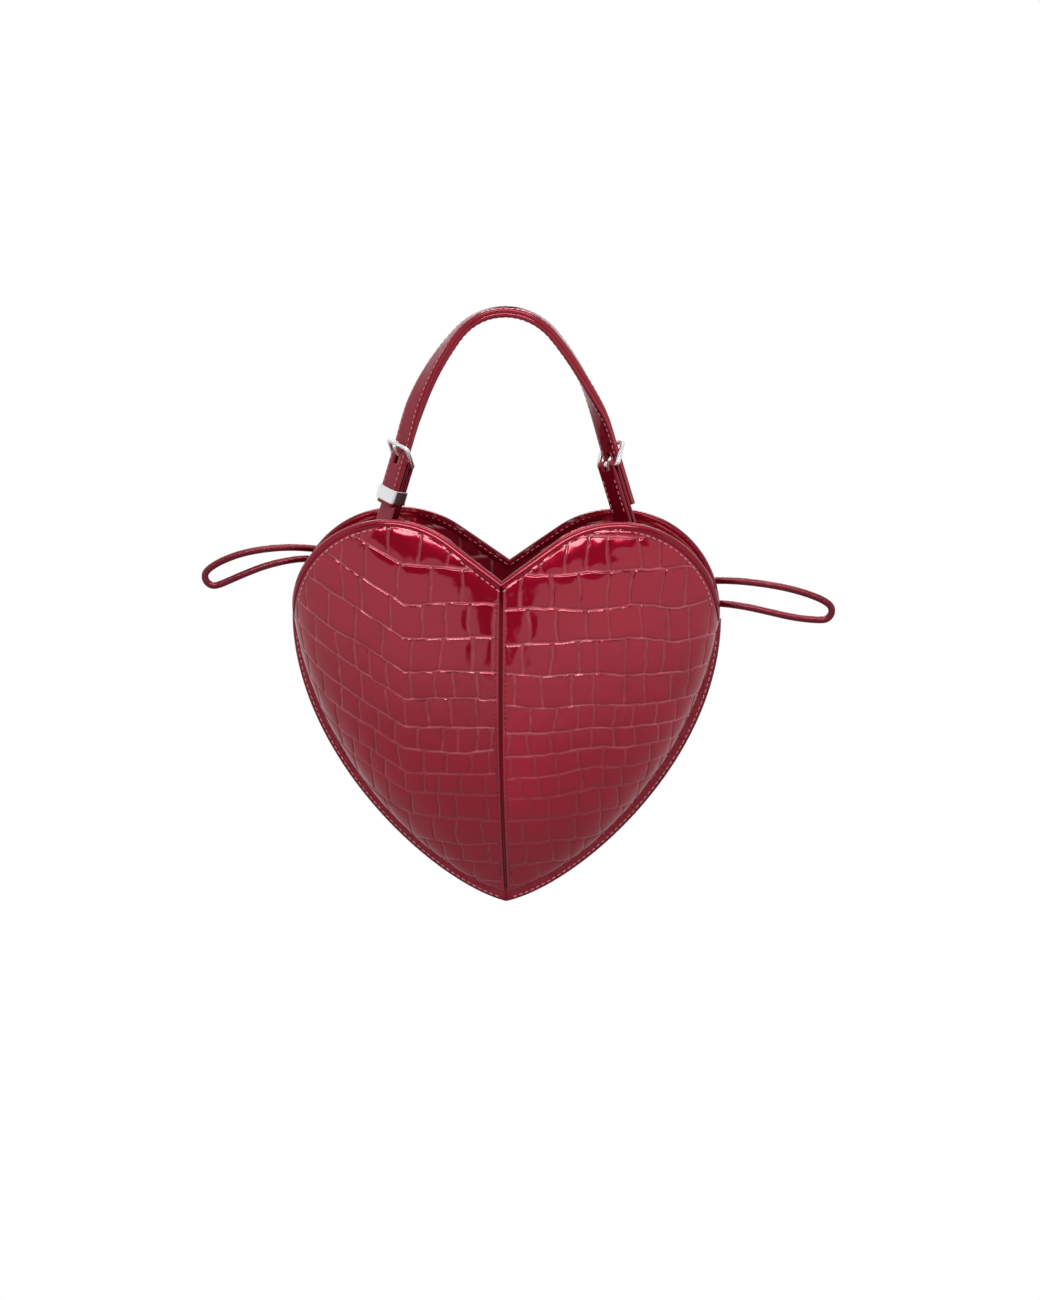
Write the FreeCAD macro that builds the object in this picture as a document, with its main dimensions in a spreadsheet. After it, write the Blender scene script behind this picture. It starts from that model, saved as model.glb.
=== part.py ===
import FreeCAD, Part
import math
import os

import Sketcher

from FreeCAD import Matrix, Placement, Rotation, Vector

# Heart shaped purse with a buckled top handle. The front faces -Y, +Z is up and the origin is under the
# crown of the handle, where a hand or a hook holds the purse. Heights in the table are above the tip.

SIZES = {
    # heart outline
    "lobe_radius": 48.0,
    "lobe_spread": 53.0,
    "widest_height": 140.6,
    "inner_slope": 36.0,
    "welt_lip": 1.0,
    "tip_rise": 5.0,
    # dome of the front and of the back
    "front_depth": 38.0,
    "back_depth": 33.0,
    "fullest_height": 107.3,
    # leather, board and lining, from outside to inside
    "panel_thickness": 1.4,
    "stiffener_thickness": 0.8,
    "lining_thickness": 0.8,
    "tape_thickness": 0.5,
    "tape_width": 14.0,
    "tape_margin": 6.0,
    "stiffener_inset": 9.0,
    "glue_gap": 0.2,
    "panel_start": 2.0,
    "lining_start": 7.0,
    "welt_thickness": 2.6,
    "welt_overlap": 3.0,
    "binding_height": 1.6,
    "binding_cover": 0.3,
    "binding_end_angle": 20.0,
    # recessed side gussets
    "gusset_inset": 8.3,
    "gusset_thickness": 1.2,
    "gusset_start_angle": 2.0,
    "gusset_end_angle": 102.0,
    "sewing_gap": 0.3,
    # feet of the handle tabs, sewn on the gussets
    "foot_thickness": 1.2,
    "foot_length": 12.0,
    "foot_depth": 20.0,
    # handle tabs and strap
    "handle_spread": 56.0,
    "leg_lean": 17.0,
    "leg_twist": 45.0,
    "strap_width": 11.0,
    "leg_thickness": 2.8,
    "arch_thickness": 4.4,
    "tab_layer": 1.2,
    "tab_height": 27.3,
    "tail_rise": 6.4,
    "shoulder_rise": 40.0,
    "apex_rise": 97.6,
    "crown_radius": 29.0,
    "crown_half_angle": 50.0,
    # buckles
    "bar_radius": 0.9,
    "bar_clearance": 0.1,
    "buckle_width": 16.0,
    "buckle_reach": 11.0,
    "buckle_bar": 2.0,
    "buckle_tilt": 40.0,
    "buckle_round": 0.6,
    "prong_radius": 0.9,
    "prong_ring": 0.95,
    "prong_width": 2.2,
    "prong_overhang": 1.3,
    "prong_swing": 35.0,
    "running_clearance": 0.05,
    "slot_clearance": 0.3,
    # keeper on the left leg
    "keeper_height": 6.5,
    "keeper_wall": 0.7,
    "keeper_rise": 8.2,
    "keeper_round": 0.5,
    # magnetic snap below the cleft
    "snap_drop": 28.0,
    "snap_radius": 8.0,
    "snap_socket_height": 3.6,
    "snap_stud_height": 1.6,
    "snap_nub_radius": 3.0,
    "snap_nub_height": 2.4,
    "snap_magnet_radius": 6.4,
    "snap_magnet_height": 2.2,
    "snap_wall": 0.6,
    "snap_post_radius": 2.0,
    "washer_radius": 4.5,
    "washer_thickness": 0.6,
    # side loops and their anchors on the back
    "loop_radius": 1.7,
    "anchor_thickness": 4.2,
    # one overrun for every cut
    "overrun": 2.0,
}

# Bezier points of the lower outline, as shares of half the width and of the widest height.
WELT_SHARES = ((0.0, 0.0), (0.340, 0.060), (1.000, 0.502), (1.0, 1.0))
DOME_SHARES = ((0.0, 0.0), (0.329, 0.059), (0.908, 0.463), (1.0, 1.0))
# How much of its depth the dome has lost at the tops of the lobes.
TOP_FALL_SHARE = 0.38
# How much of the arch the strap takes to reach its full thickness.
SWELL_SHARE = 0.2
# How late each arm of the strap takes up its twist, left (-1) and right (1): powers of the way down the arch.
TWIST_POWERS = {-1: 1, 1: 3}

# Routes of the side loops (x, y, z above the tip), from the upper anchored end to the lower one.
LEFT_LOOP = (
    (-88.0, 17.8, 168.6), (-95.0, 14.8, 169.8), (-105.0, 11.9, 170.7), (-116.0, 10.1, 170.1),
    (-126.4, 9.1, 168.2), (-134.4, 8.7, 165.4), (-140.4, 8.4, 162.4), (-144.5, 8.2, 159.2),
    (-145.3, 8.2, 156.5), (-144.3, 8.2, 153.8), (-141.9, 8.2, 152.2), (-139.0, 8.2, 152.4),
    (-134.4, 8.5, 154.3), (-126.4, 8.9, 157.9), (-116.2, 10.0, 161.9), (-105.2, 12.0, 164.4),
    (-95.5, 15.0, 164.9), (-88.0, 18.4, 163.6),
)
RIGHT_LOOP = (
    (91.5, 17.6, 155.3), (98.5, 14.2, 156.4), (108.5, 11.2, 156.9), (119.8, 9.6, 156.2),
    (131.0, 8.8, 154.6), (140.8, 8.5, 152.2), (148.6, 8.4, 149.4), (153.4, 8.3, 146.6),
    (154.6, 8.2, 143.9), (153.9, 8.2, 141.1), (151.7, 8.2, 139.2), (148.7, 8.2, 139.0),
    (143.7, 8.3, 139.2), (135.0, 8.6, 140.2), (124.4, 9.4, 142.5), (113.0, 10.6, 144.7),
    (101.4, 13.4, 145.6), (91.5, 17.6, 144.9),
)
# A bend of a loop takes this share of the shorter run on each side of its point.
BEND_SHARE = 0.45

ACROSS_COUNT = 31
UPWARD_COUNT = 25
ARCH_COUNT = 33
CURVE_STEPS = 40

doc = FreeCAD.newDocument("heart_purse")
sheet = doc.addObject("Spreadsheet::Sheet", "Sizes")
for row, (alias, value) in enumerate(SIZES.items(), start=1):
    sheet.set(f"A{row}", alias)
    sheet.set(f"B{row}", str(value))
    sheet.setAlias(f"B{row}", alias)
doc.recompute()


def size(alias):
    return float(sheet.get(alias))


NODES = []


def keep(obj, label, placement):
    """Names a finished sub-part and puts it in the frame of the purse."""
    obj.Label = label
    obj.Placement = placement
    NODES.append(obj)
    return obj


def keep_shape(shape, label, placement):
    """The same for a shape that is set directly."""
    feature = doc.addObject("Part::Feature", label)
    feature.Shape = shape
    return keep(feature, label, placement)


def bind(obj, **expressions):
    """Binds properties to cells of the sheet."""
    for name, expression in expressions.items():
        obj.setExpression(name, expression)
    return obj


def bound(kind, name, **expressions):
    """A document object whose sizes are bound to the sheet."""
    return bind(doc.addObject(kind, name), **expressions)


# Values that follow from the table
DOME_WIDTH = size("lobe_spread") + size("lobe_radius")
TOP_HEIGHT = size("widest_height") + size("lobe_radius")
FACE_OFFSET = size("welt_thickness") / 2 + size("glue_gap")
STIFFENER_DEPTH = size("panel_thickness") + size("glue_gap")
LINING_DEPTH = STIFFENER_DEPTH + size("stiffener_thickness") + size("glue_gap")
WALL = LINING_DEPTH + size("lining_thickness")
SLOPE = math.radians(size("inner_slope"))
CLEFT_HEIGHT = (size("widest_height") + size("lobe_radius") / math.cos(SLOPE)
                - size("lobe_spread") * math.tan(SLOPE))

TWIST = math.radians(size("leg_twist"))
LEAN = math.radians(size("leg_lean"))
TAB_HALF = size("bar_radius") + size("bar_clearance") + size("tab_layer")
STRAP_OFFSET = TAB_HALF + size("glue_gap") + size("leg_thickness") / 2
KNUCKLE = size("strap_width") / 2 * math.cos(TWIST) + TAB_HALF * math.sin(TWIST)
GUSSET_RADIUS = size("lobe_radius") - size("gusset_inset")
FOOT_RADIUS = GUSSET_RADIUS + size("glue_gap") + size("foot_thickness")
AXIS_HEIGHT = size("widest_height") + FOOT_RADIUS + size("sewing_gap") + KNUCKLE
APEX_HEIGHT = AXIS_HEIGHT + size("apex_rise")
GRIP_HEIGHT = APEX_HEIGHT - size("arch_thickness") / 2
AT_REST = Placement(Vector(0, 0, -GRIP_HEIGHT), Rotation())


def bezier(shares, width, low, high, step):
    """A point of a cubic given by shares of a width and of a height."""
    rest = 1 - step
    weights = (rest ** 3, 3 * rest ** 2 * step, 3 * rest * step ** 2, step ** 3)
    across = sum(weight * share[0] for weight, share in zip(weights, shares))
    upward = sum(weight * share[1] for weight, share in zip(weights, shares))
    return width * across, low + (high - low) * upward


def dome_width(height):
    """Half the width of the dome where it meets the welt; above the widest point it flares on."""
    low, high = size("tip_rise"), size("widest_height")
    if height >= high:
        near, last = DOME_SHARES[2], DOME_SHARES[3]
        flare = (last[0] - near[0]) / (last[1] - near[1]) / (high - low)
        return DOME_WIDTH * (1 + flare * (height - high))
    first, second = 0.0, 1.0
    for _ in range(CURVE_STEPS):
        middle = (first + second) / 2
        if bezier(DOME_SHARES, DOME_WIDTH, low, high, middle)[1] < height:
            first = middle
        else:
            second = middle
    return bezier(DOME_SHARES, DOME_WIDTH, low, high, middle)[0]


def dome_depth(height, depth):
    """Depth of the dome on the centre seam."""
    fullest, low = size("fullest_height"), size("tip_rise")
    if height > fullest:
        return depth * (1 - TOP_FALL_SHARE * ((height - fullest) / (TOP_HEIGHT - fullest)) ** 2)
    rise = math.sin(math.pi / 2 * (height - low) / (fullest - low))
    return size("panel_thickness") + (depth - size("panel_thickness")) * rise


def rim_height(across, beyond=0.0):
    """Top edge of the heart at a distance from the centre seam, or an edge that lies beyond it."""
    radius = size("lobe_radius") + beyond
    touch = size("lobe_spread") - radius * math.sin(SLOPE)
    if across < touch:
        return CLEFT_HEIGHT + beyond / math.cos(SLOPE) + across * math.tan(SLOPE)
    reach = min(abs(across - size("lobe_spread")), radius)
    return size("widest_height") + math.sqrt(radius ** 2 - reach ** 2)


def rim_on_line(angle, beyond=0.0):
    """Height at which a line of the dome meets the rim, or an edge that lies beyond it."""
    low, high = size("widest_height"), TOP_HEIGHT + beyond
    for _ in range(CURVE_STEPS):
        middle = (low + high) / 2
        if rim_height(dome_width(middle) * math.sin(angle), beyond) > middle:
            low = middle
        else:
            high = middle
    return middle


def dome_point(side, face, angle, height, inward):
    """A point of the dome: side -1 left or 1 right, face -1 front or 1 back."""
    depth = size("front_depth") if face < 0 else size("back_depth")
    seam = size("glue_gap") / 2
    across = seam + (dome_width(height) - inward - seam) * math.sin(angle)
    outward = FACE_OFFSET + (dome_depth(height, depth) - inward) * math.cos(angle)
    return Vector(side * across, face * outward, height)


def wall_at(face, across, height, inward):
    """Distance from the centre plane of the dome, some way inward, at a place of the heart."""
    depth = size("front_depth") if face < 0 else size("back_depth")
    share = min(1.0, abs(across) / (dome_width(height) - inward))
    return FACE_OFFSET + (dome_depth(height, depth) - inward) * math.sqrt(1 - share ** 2)


def steps(first, last, count):
    return [first + (last - first) * index / (count - 1) for index in range(count)]


def thick_patch(outer_grid, inner_grid):
    """A closed solid between two smooth surfaces through grids of points."""
    surfaces = []
    for grid in (outer_grid, inner_grid):
        surface = Part.BSplineSurface()
        surface.interpolate(grid)
        surfaces.append(surface)
    outer, inner = surfaces
    faces = [outer.toShape(), inner.toShape()]
    u_first, u_last, v_first, v_last = outer.bounds()
    a_first, a_last, b_first, b_last = inner.bounds()
    for u_outer, u_inner in ((u_first, a_first), (u_last, a_last)):
        faces.append(Part.makeRuledSurface(outer.uIso(u_outer).toShape(), inner.uIso(u_inner).toShape()))
    for v_outer, v_inner in ((v_first, b_first), (v_last, b_last)):
        faces.append(Part.makeRuledSurface(outer.vIso(v_outer).toShape(), inner.vIso(v_inner).toShape()))
    return solid_of(faces)


def ruled_face(first, second):
    """A face of straight lines between two curves that share their parameters."""
    surface = Part.BSplineSurface()
    surface.buildFromPolesMultsKnots([first.getPoles(), second.getPoles()], [2, 2],
                                     first.getMultiplicities(), [0.0, 1.0], first.getKnots(),
                                     False, False, 1, first.Degree)
    return surface.toShape()


def solid_of(faces):
    shell = Part.Shell(faces)
    shell.sewShape()
    solid = Part.Solid(shell)
    if solid.Volume < 0:
        solid.reverse()
    return solid


def dome_layer(side, face, first_angle, start_height, outside, inside):
    """One quarter of a layer of the wall, from near the tip up to the rim."""
    grids = []
    for inward in (outside, inside):
        grid = []
        for angle in steps(first_angle, math.pi / 2, ACROSS_COUNT):
            top = rim_on_line(angle)
            grid.append([dome_point(side, face, angle, height, inward)
                         for height in steps(start_height, top, UPWARD_COUNT)])
        grids.append(grid)
    return thick_patch(*grids)


def make_walls():
    """Outer leather, stiffening board and lining of the four quarters."""
    low = size("tip_rise")
    inset = math.asin(size("stiffener_inset") / DOME_WIDTH)
    layers = (
        ("panel", 0.0, low + size("panel_start"), 0.0, size("panel_thickness")),
        ("stiffener", inset, low + size("lining_start"), STIFFENER_DEPTH,
         STIFFENER_DEPTH + size("stiffener_thickness")),
        ("lining", 0.0, low + size("lining_start"), LINING_DEPTH, WALL),
    )
    shapes = {}
    for face_name, face in (("front", -1), ("back", 1)):
        for side_name, side in (("left", -1), ("right", 1)):
            for layer, first_angle, start, outside, inside in layers:
                shapes[f"{face_name}_{layer}_{side_name}"] = dome_layer(
                    side, face, first_angle, start, outside, inside)
    return shapes


def make_binding(side, face):
    """Bound edge along the rim, from the outer shoulder of the lobe to the cleft."""
    low_edge = size("sewing_gap")
    high_edge = low_edge + size("binding_height")
    end = math.radians(size("binding_end_angle"))
    end_height = size("widest_height") + size("lobe_radius") * math.sin(end)
    end_across = size("lobe_spread") + size("lobe_radius") * math.cos(end)
    last_angle = math.asin(end_across / dome_width(end_height))
    grids = []
    for inward in (-size("binding_cover"), WALL + size("binding_cover")):
        grids.append([[dome_point(side, face, angle, rim_on_line(angle, beyond), inward)
                       for beyond in steps(low_edge, high_edge, 3)]
                      for angle in steps(0.0, last_angle, ACROSS_COUNT)])
    return thick_patch(*grids)


def make_seam_tape(face):
    """Reinforcing tape behind the centre seam, between the two boards."""
    reach = math.asin(size("tape_width") / 2 / DOME_WIDTH)
    low = size("tip_rise") + size("lining_start") + size("tape_margin")
    high = CLEFT_HEIGHT - size("tape_margin")
    grids = []
    for inward in (STIFFENER_DEPTH, STIFFENER_DEPTH + size("tape_thickness")):
        grids.append([[dome_point(1, face, angle, height, inward)
                       for height in steps(low, high, UPWARD_COUNT)]
                      for angle in steps(-reach, reach, ACROSS_COUNT)])
    return thick_patch(*grids)


def make_welt():
    """Flat leather strip between the sewn edges of front and back; its rim stands out as a flange."""
    wide = DOME_WIDTH + size("welt_lip")
    high = size("widest_height")
    inner_width = DOME_WIDTH - size("welt_overlap")
    inner_low = size("tip_rise") + size("welt_overlap")
    front = -size("welt_thickness") / 2
    edges = []
    for side in (1, -1):
        outer = [Vector(side * wide * across, front, high * upward) for across, upward in WELT_SHARES]
        inner = [Vector(side * inner_width * across, front, inner_low + (high - inner_low) * upward)
                 for across, upward in DOME_SHARES]
        for points in (outer, inner):
            curve = Part.BezierCurve()
            curve.setPoles(points)
            edges.append(curve.toShape())
        edges.append(Part.LineSegment(outer[-1], inner[-1]).toShape())
    outline = Part.Wire(Part.sortEdges(edges)[0])
    return Part.Face(outline).extrude(Vector(0, size("welt_thickness"), 0))


def lobe_strip(side, first_degrees, last_degrees, inner_radius, outer_radius, half_depths):
    """A strip that follows the lobe; half_depths gives its front and back edge at a place."""
    grids = []
    for radius in (outer_radius, inner_radius):
        grid = []
        for degrees in steps(first_degrees, last_degrees, ACROSS_COUNT):
            angle = math.radians(degrees)
            across = size("lobe_spread") + outer_radius * math.cos(angle)
            height = size("widest_height") + outer_radius * math.sin(angle)
            front, back = half_depths(across, height)
            place = Vector(side * (size("lobe_spread") + radius * math.cos(angle)), 0,
                           size("widest_height") + radius * math.sin(angle))
            grid.append([place + Vector(0, depth, 0) for depth in steps(-front, back, 3)])
        grids.append(grid)
    return thick_patch(*grids)


def make_gusset(side):
    """Recessed strip between front and back over the outer half of a lobe."""
    def between_linings(across, height):
        return [wall_at(face, across, height, WALL) - size("sewing_gap") for face in (-1, 1)]
    return lobe_strip(side, size("gusset_start_angle"), size("gusset_end_angle"),
                      GUSSET_RADIUS - size("gusset_thickness"), GUSSET_RADIUS, between_linings)


def make_tab_foot(side):
    """The two ends of a handle tab, folded apart and sewn flat on the gusset."""
    def flaps(across, height):
        return size("foot_depth") / 2, size("foot_depth") / 2
    middle = math.degrees(math.acos((size("handle_spread") - size("lobe_spread")) / FOOT_RADIUS))
    reach = math.degrees(size("foot_length") / 2 / FOOT_RADIUS)
    return lobe_strip(side, middle - reach, middle + reach, GUSSET_RADIUS + size("glue_gap"),
                      FOOT_RADIUS, flaps)


def leg_frame():
    """Frame of the left leg on the fold axis: X along the buckle bar, Y outward, Z up the leg."""
    up = Vector(math.sin(LEAN), 0, math.cos(LEAN))
    flat = Vector(-math.cos(LEAN), 0, math.sin(LEAN))
    outward = flat * math.cos(TWIST) + Vector(0, -1, 0) * math.sin(TWIST)
    along = outward.cross(up)
    matrix = Matrix(along.x, outward.x, up.x, -size("handle_spread"),
                    along.y, outward.y, up.y, 0,
                    along.z, outward.z, up.z, AXIS_HEIGHT,
                    0, 0, 0, 1)
    return Placement(matrix)


LEFT_LEG = AT_REST.multiply(leg_frame())
HALF_TURN = Placement(Vector(0, 0, 0), Rotation(Vector(0, 0, 1), 180))
LEGS = (("left", LEFT_LEG), ("right", HALF_TURN.multiply(LEFT_LEG)))


def strap_stations():
    """Centres, tangents, twists and thicknesses along the strap, from the left tail to the right one."""
    inward = STRAP_OFFSET * math.cos(TWIST)

    def leg_point(rise):
        across = size("handle_spread") + inward * math.cos(LEAN) - rise * math.sin(LEAN)
        return across, AXIS_HEIGHT + inward * math.sin(LEAN) + rise * math.cos(LEAN)

    shoulder_rise = (size("shoulder_rise") - inward * math.sin(LEAN)) / math.cos(LEAN)
    shoulder = leg_point(shoulder_rise)
    crown = math.radians(size("crown_half_angle"))
    centre = APEX_HEIGHT - size("crown_radius")
    crown_end = (size("crown_radius") * math.sin(crown), centre + size("crown_radius") * math.cos(crown))
    chord = math.atan2(crown_end[1] - shoulder[1], shoulder[0] - crown_end[0])
    run = math.hypot(crown_end[1] - shoulder[1], shoulder[0] - crown_end[0])
    bend = chord - crown
    side_radius = run / 2 / math.sin(bend)
    half = []
    crown_length = size("crown_radius") * crown
    side_length = side_radius * 2 * bend
    total = crown_length + side_length
    for way in steps(0.0, total * (1 - SWELL_SHARE / 2), ARCH_COUNT // 2 + 1):
        if way <= crown_length:
            turn = way / size("crown_radius")
            spot = (size("crown_radius") * math.sin(turn), centre + size("crown_radius") * math.cos(turn))
        else:
            turn = crown + (way - crown_length) / side_radius
            spot = (crown_end[0] + side_radius * (math.sin(turn) - math.sin(crown)),
                    crown_end[1] + side_radius * (math.cos(turn) - math.cos(crown)))
        half.append((spot, turn, way / total))
    leg_turn = math.pi / 2 - LEAN
    leg_rises = [shoulder_rise * (1 - SWELL_SHARE / 2)]
    leg_rises += steps(size("tab_height") + size("buckle_bar"), size("tail_rise"), 4)
    stations = []
    for mirror in (-1, 1):
        arm = [(spot, turn, TWIST * math.sin(math.pi / 2 * share ** TWIST_POWERS[mirror]) ** 2, share)
               for spot, turn, share in half]
        arm += [(leg_point(rise), leg_turn, TWIST, 1.0) for rise in leg_rises]
        if mirror < 0:
            arm.reverse()
        else:
            arm = arm[1:]
        for spot, turn, twist, share in arm:
            tangent = Vector(math.cos(turn), 0, -mirror * math.sin(turn))
            swell = math.sin(math.pi / 2 * min(1.0, (1 - share) / SWELL_SHARE)) ** 2
            thick = size("leg_thickness") + (size("arch_thickness") - size("leg_thickness")) * swell
            signed = -mirror * twist
            place = Vector(mirror * spot[0], -STRAP_OFFSET * math.sin(signed), spot[1])
            stations.append((place, tangent, signed, thick))
    return stations


def make_strap_layer(outer_layer):
    """One of the two leathers of the strap, twisted along the handle."""
    corners = [[], [], [], []]
    seam = size("glue_gap") / 2
    for place, tangent, twist, thick in strap_stations():
        flat = Vector(-tangent.z, 0, tangent.x)
        outward = flat * math.cos(twist) + Vector(0, -1, 0) * math.sin(twist)
        along = outward.cross(tangent).normalize() * (size("strap_width") / 2)
        near, far = (seam, thick / 2) if outer_layer else (-thick / 2, -seam)
        for corner, (height, edge) in enumerate(((near, -1), (far, -1), (far, 1), (near, 1))):
            corners[corner].append(place + outward * height + along * edge)
    ways = [0.0]
    centres = [station[0] for station in strap_stations()]
    for before, after in zip(centres, centres[1:]):
        ways.append(ways[-1] + (after - before).Length)
    curves = []
    for points in corners:
        curve = Part.BSplineCurve()
        curve.interpolate(Points=points, Parameters=[way / ways[-1] for way in ways])
        curves.append(curve)
    faces = [ruled_face(curves[index], curves[(index + 1) % 4]) for index in range(4)]
    for end in (0, -1):
        ring = [points[end] for points in corners]
        faces.append(Part.Face(Part.makePolygon(ring + ring[:1])))
    return solid_of(faces)


PRONG_LIFT = math.asin((size("buckle_bar") / 2 + size("prong_radius") + size("running_clearance"))
                       / (size("buckle_reach") - size("buckle_bar") / 2))
PRONG_ANGLE = math.radians(size("buckle_tilt")) + PRONG_LIFT
OPEN_ANGLE = PRONG_ANGLE + math.radians(size("prong_swing"))


def make_prong_hole():
    """Slotted hole of the strap, in the frame of a leg, long enough for the prong to swing."""
    inner_face = TAB_HALF + size("glue_gap")
    outer_face = inner_face + size("leg_thickness")
    half_height = size("prong_radius") / math.sin(PRONG_ANGLE) + size("slot_clearance")
    high = size("tab_height") + outer_face / math.tan(PRONG_ANGLE) + half_height
    low = size("tab_height") + outer_face / math.tan(OPEN_ANGLE) - half_height
    width = 2 * (size("prong_radius") + size("slot_clearance"))
    box = Part.makeBox(width, outer_face - inner_face + 2 * size("overrun"), high - low)
    box.translate(Vector(-width / 2, inner_face - size("overrun"), low))
    return box


def make_handle_strap():
    """Outer leather and lining of the strap, each with a prong hole at both buckles."""
    for label, outer_layer in (("handle_strap_outer", True), ("handle_strap_lining", False)):
        shape = make_strap_layer(outer_layer)
        for _, leg in (("left", leg_frame()), ("right", HALF_TURN.multiply(leg_frame()))):
            hole = make_prong_hole()
            hole.Placement = leg.multiply(hole.Placement)
            shape = shape.cut(hole)
        keep_shape(shape, label, AT_REST)


def make_tab(name, leg):
    """Handle tab: a doubled strap with a loop for the buckle bar on top and a rounded foot."""
    half = "(Sizes.bar_radius + Sizes.bar_clearance + Sizes.tab_layer)"
    width = "Sizes.strap_width"
    strip = bound("Part::Box", f"{name}_tab_strip", Length=width, Width=f"2 * {half}",
                  Height="Sizes.tab_height")
    bind(strip, **{".Placement.Base.x": f"-{width} / 2", ".Placement.Base.y": f"-{half}"})
    below = bound("Part::Box", f"{name}_tab_below", Length=width, Width=f"2 * {half}", Height=width)
    bind(below, **{".Placement.Base.x": f"-{width} / 2", ".Placement.Base.y": f"-{half}",
                   ".Placement.Base.z": f"-{width}"})
    ball = bound("Part::Sphere", f"{name}_tab_ball", Radius=(
        f"{width} / 2 * cos(Sizes.leg_twist * 1 deg) + {half} * sin(Sizes.leg_twist * 1 deg)"))
    foot = doc.addObject("Part::Common", f"{name}_tab_round")
    foot.Base, foot.Tool = below, ball
    across = Rotation(Vector(0, 1, 0), 90)
    loop = bound("Part::Cylinder", f"{name}_tab_loop", Radius=half, Height=width)
    hole = bound("Part::Cylinder", f"{name}_tab_hole", Radius="Sizes.bar_radius + Sizes.bar_clearance",
                 Height=f"{width} + 2 * Sizes.overrun")
    for cylinder, start in ((loop, f"-{width} / 2"), (hole, f"-{width} / 2 - Sizes.overrun")):
        cylinder.Placement = Placement(Vector(0, 0, 0), across)
        bind(cylinder, **{".Placement.Base.x": start, ".Placement.Base.z": "Sizes.tab_height"})
    gap = "(Sizes.prong_width / 2 + Sizes.slot_clearance)"
    slot = bound("Part::Box", f"{name}_tab_slot", Length=f"2 * {gap}",
                 Width=f"2 * {half} + 2 * Sizes.overrun", Height=f"2 * {half} + Sizes.overrun")
    bind(slot, **{".Placement.Base.x": f"-{gap}", ".Placement.Base.y": f"-{half} - Sizes.overrun",
                  ".Placement.Base.z": f"Sizes.tab_height - {half}"})
    solid = doc.addObject("Part::MultiFuse", f"{name}_tab_solid")
    solid.Shapes = [strip, foot, loop]
    holed = doc.addObject("Part::Cut", f"{name}_tab_holed")
    holed.Base, holed.Tool = solid, hole
    tab = doc.addObject("Part::Cut", f"handle_tab_{name}")
    tab.Base, tab.Tool = holed, slot
    keep(tab, f"handle_tab_{name}", leg)


def rectangle(sketch, width, height):
    """Adds a rectangle centred on the sketch's origin, with its sides bound to expressions."""
    start = sketch.GeometryCount
    corners = [Vector(-1, -1, 0), Vector(1, -1, 0), Vector(1, 1, 0), Vector(-1, 1, 0)]
    for index in range(4):
        sketch.addGeometry(Part.LineSegment(corners[index], corners[(index + 1) % 4]), False)
    for index in range(4):
        following = start + (index + 1) % 4
        sketch.addConstraint(Sketcher.Constraint("Coincident", start + index, 2, following, 1))
    for index, way in enumerate(("Horizontal", "Vertical", "Horizontal", "Vertical")):
        sketch.addConstraint(Sketcher.Constraint(way, start + index))
    sketch.addConstraint(Sketcher.Constraint("Symmetric", start, 1, start + 1, 2, -1, 1))
    for way, edge, expression in (("DistanceX", start, width), ("DistanceY", start + 1, height)):
        number = sketch.addConstraint(Sketcher.Constraint(way, edge, 1, edge, 2, 2.0))
        sketch.setExpression(f"Constraints[{number}]", expression)


def origin_plane(body, role):
    return next(plane for plane in body.Origin.OriginFeatures if plane.Role == role)


def ring_body(name, plane, outer, inner, length, round_alias):
    """A body made of one padded rectangular ring whose outer long edges are rounded."""
    body = doc.addObject("PartDesign::Body", name)
    sketch = body.newObject("Sketcher::SketchObject", f"{name}_sketch")
    sketch.AttachmentSupport = [(origin_plane(body, plane), "")]
    sketch.MapMode = "FlatFace"
    rectangle(sketch, *outer)
    rectangle(sketch, *inner)
    pad = body.newObject("PartDesign::Pad", f"{name}_pad")
    pad.Profile = sketch
    pad.Midplane = True
    bind(pad, Length=length)
    doc.recompute()
    axis = pad.Shape.BoundBox
    reach = max(abs(axis.XMin), axis.XMax)
    outer_edges = []
    for number, edge in enumerate(pad.Shape.Edges, start=1):
        ends = [vertex.Point for vertex in edge.Vertexes]
        if all(abs(abs(point.x) - reach) < size("glue_gap") for point in ends):
            outer_edges.append(f"Edge{number}")
    fillet = body.newObject("PartDesign::Fillet", f"{name}_fillet")
    fillet.Base = (pad, outer_edges)
    bind(fillet, Radius=f"Sizes.{round_alias}")
    body.Tip = fillet
    return body


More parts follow.
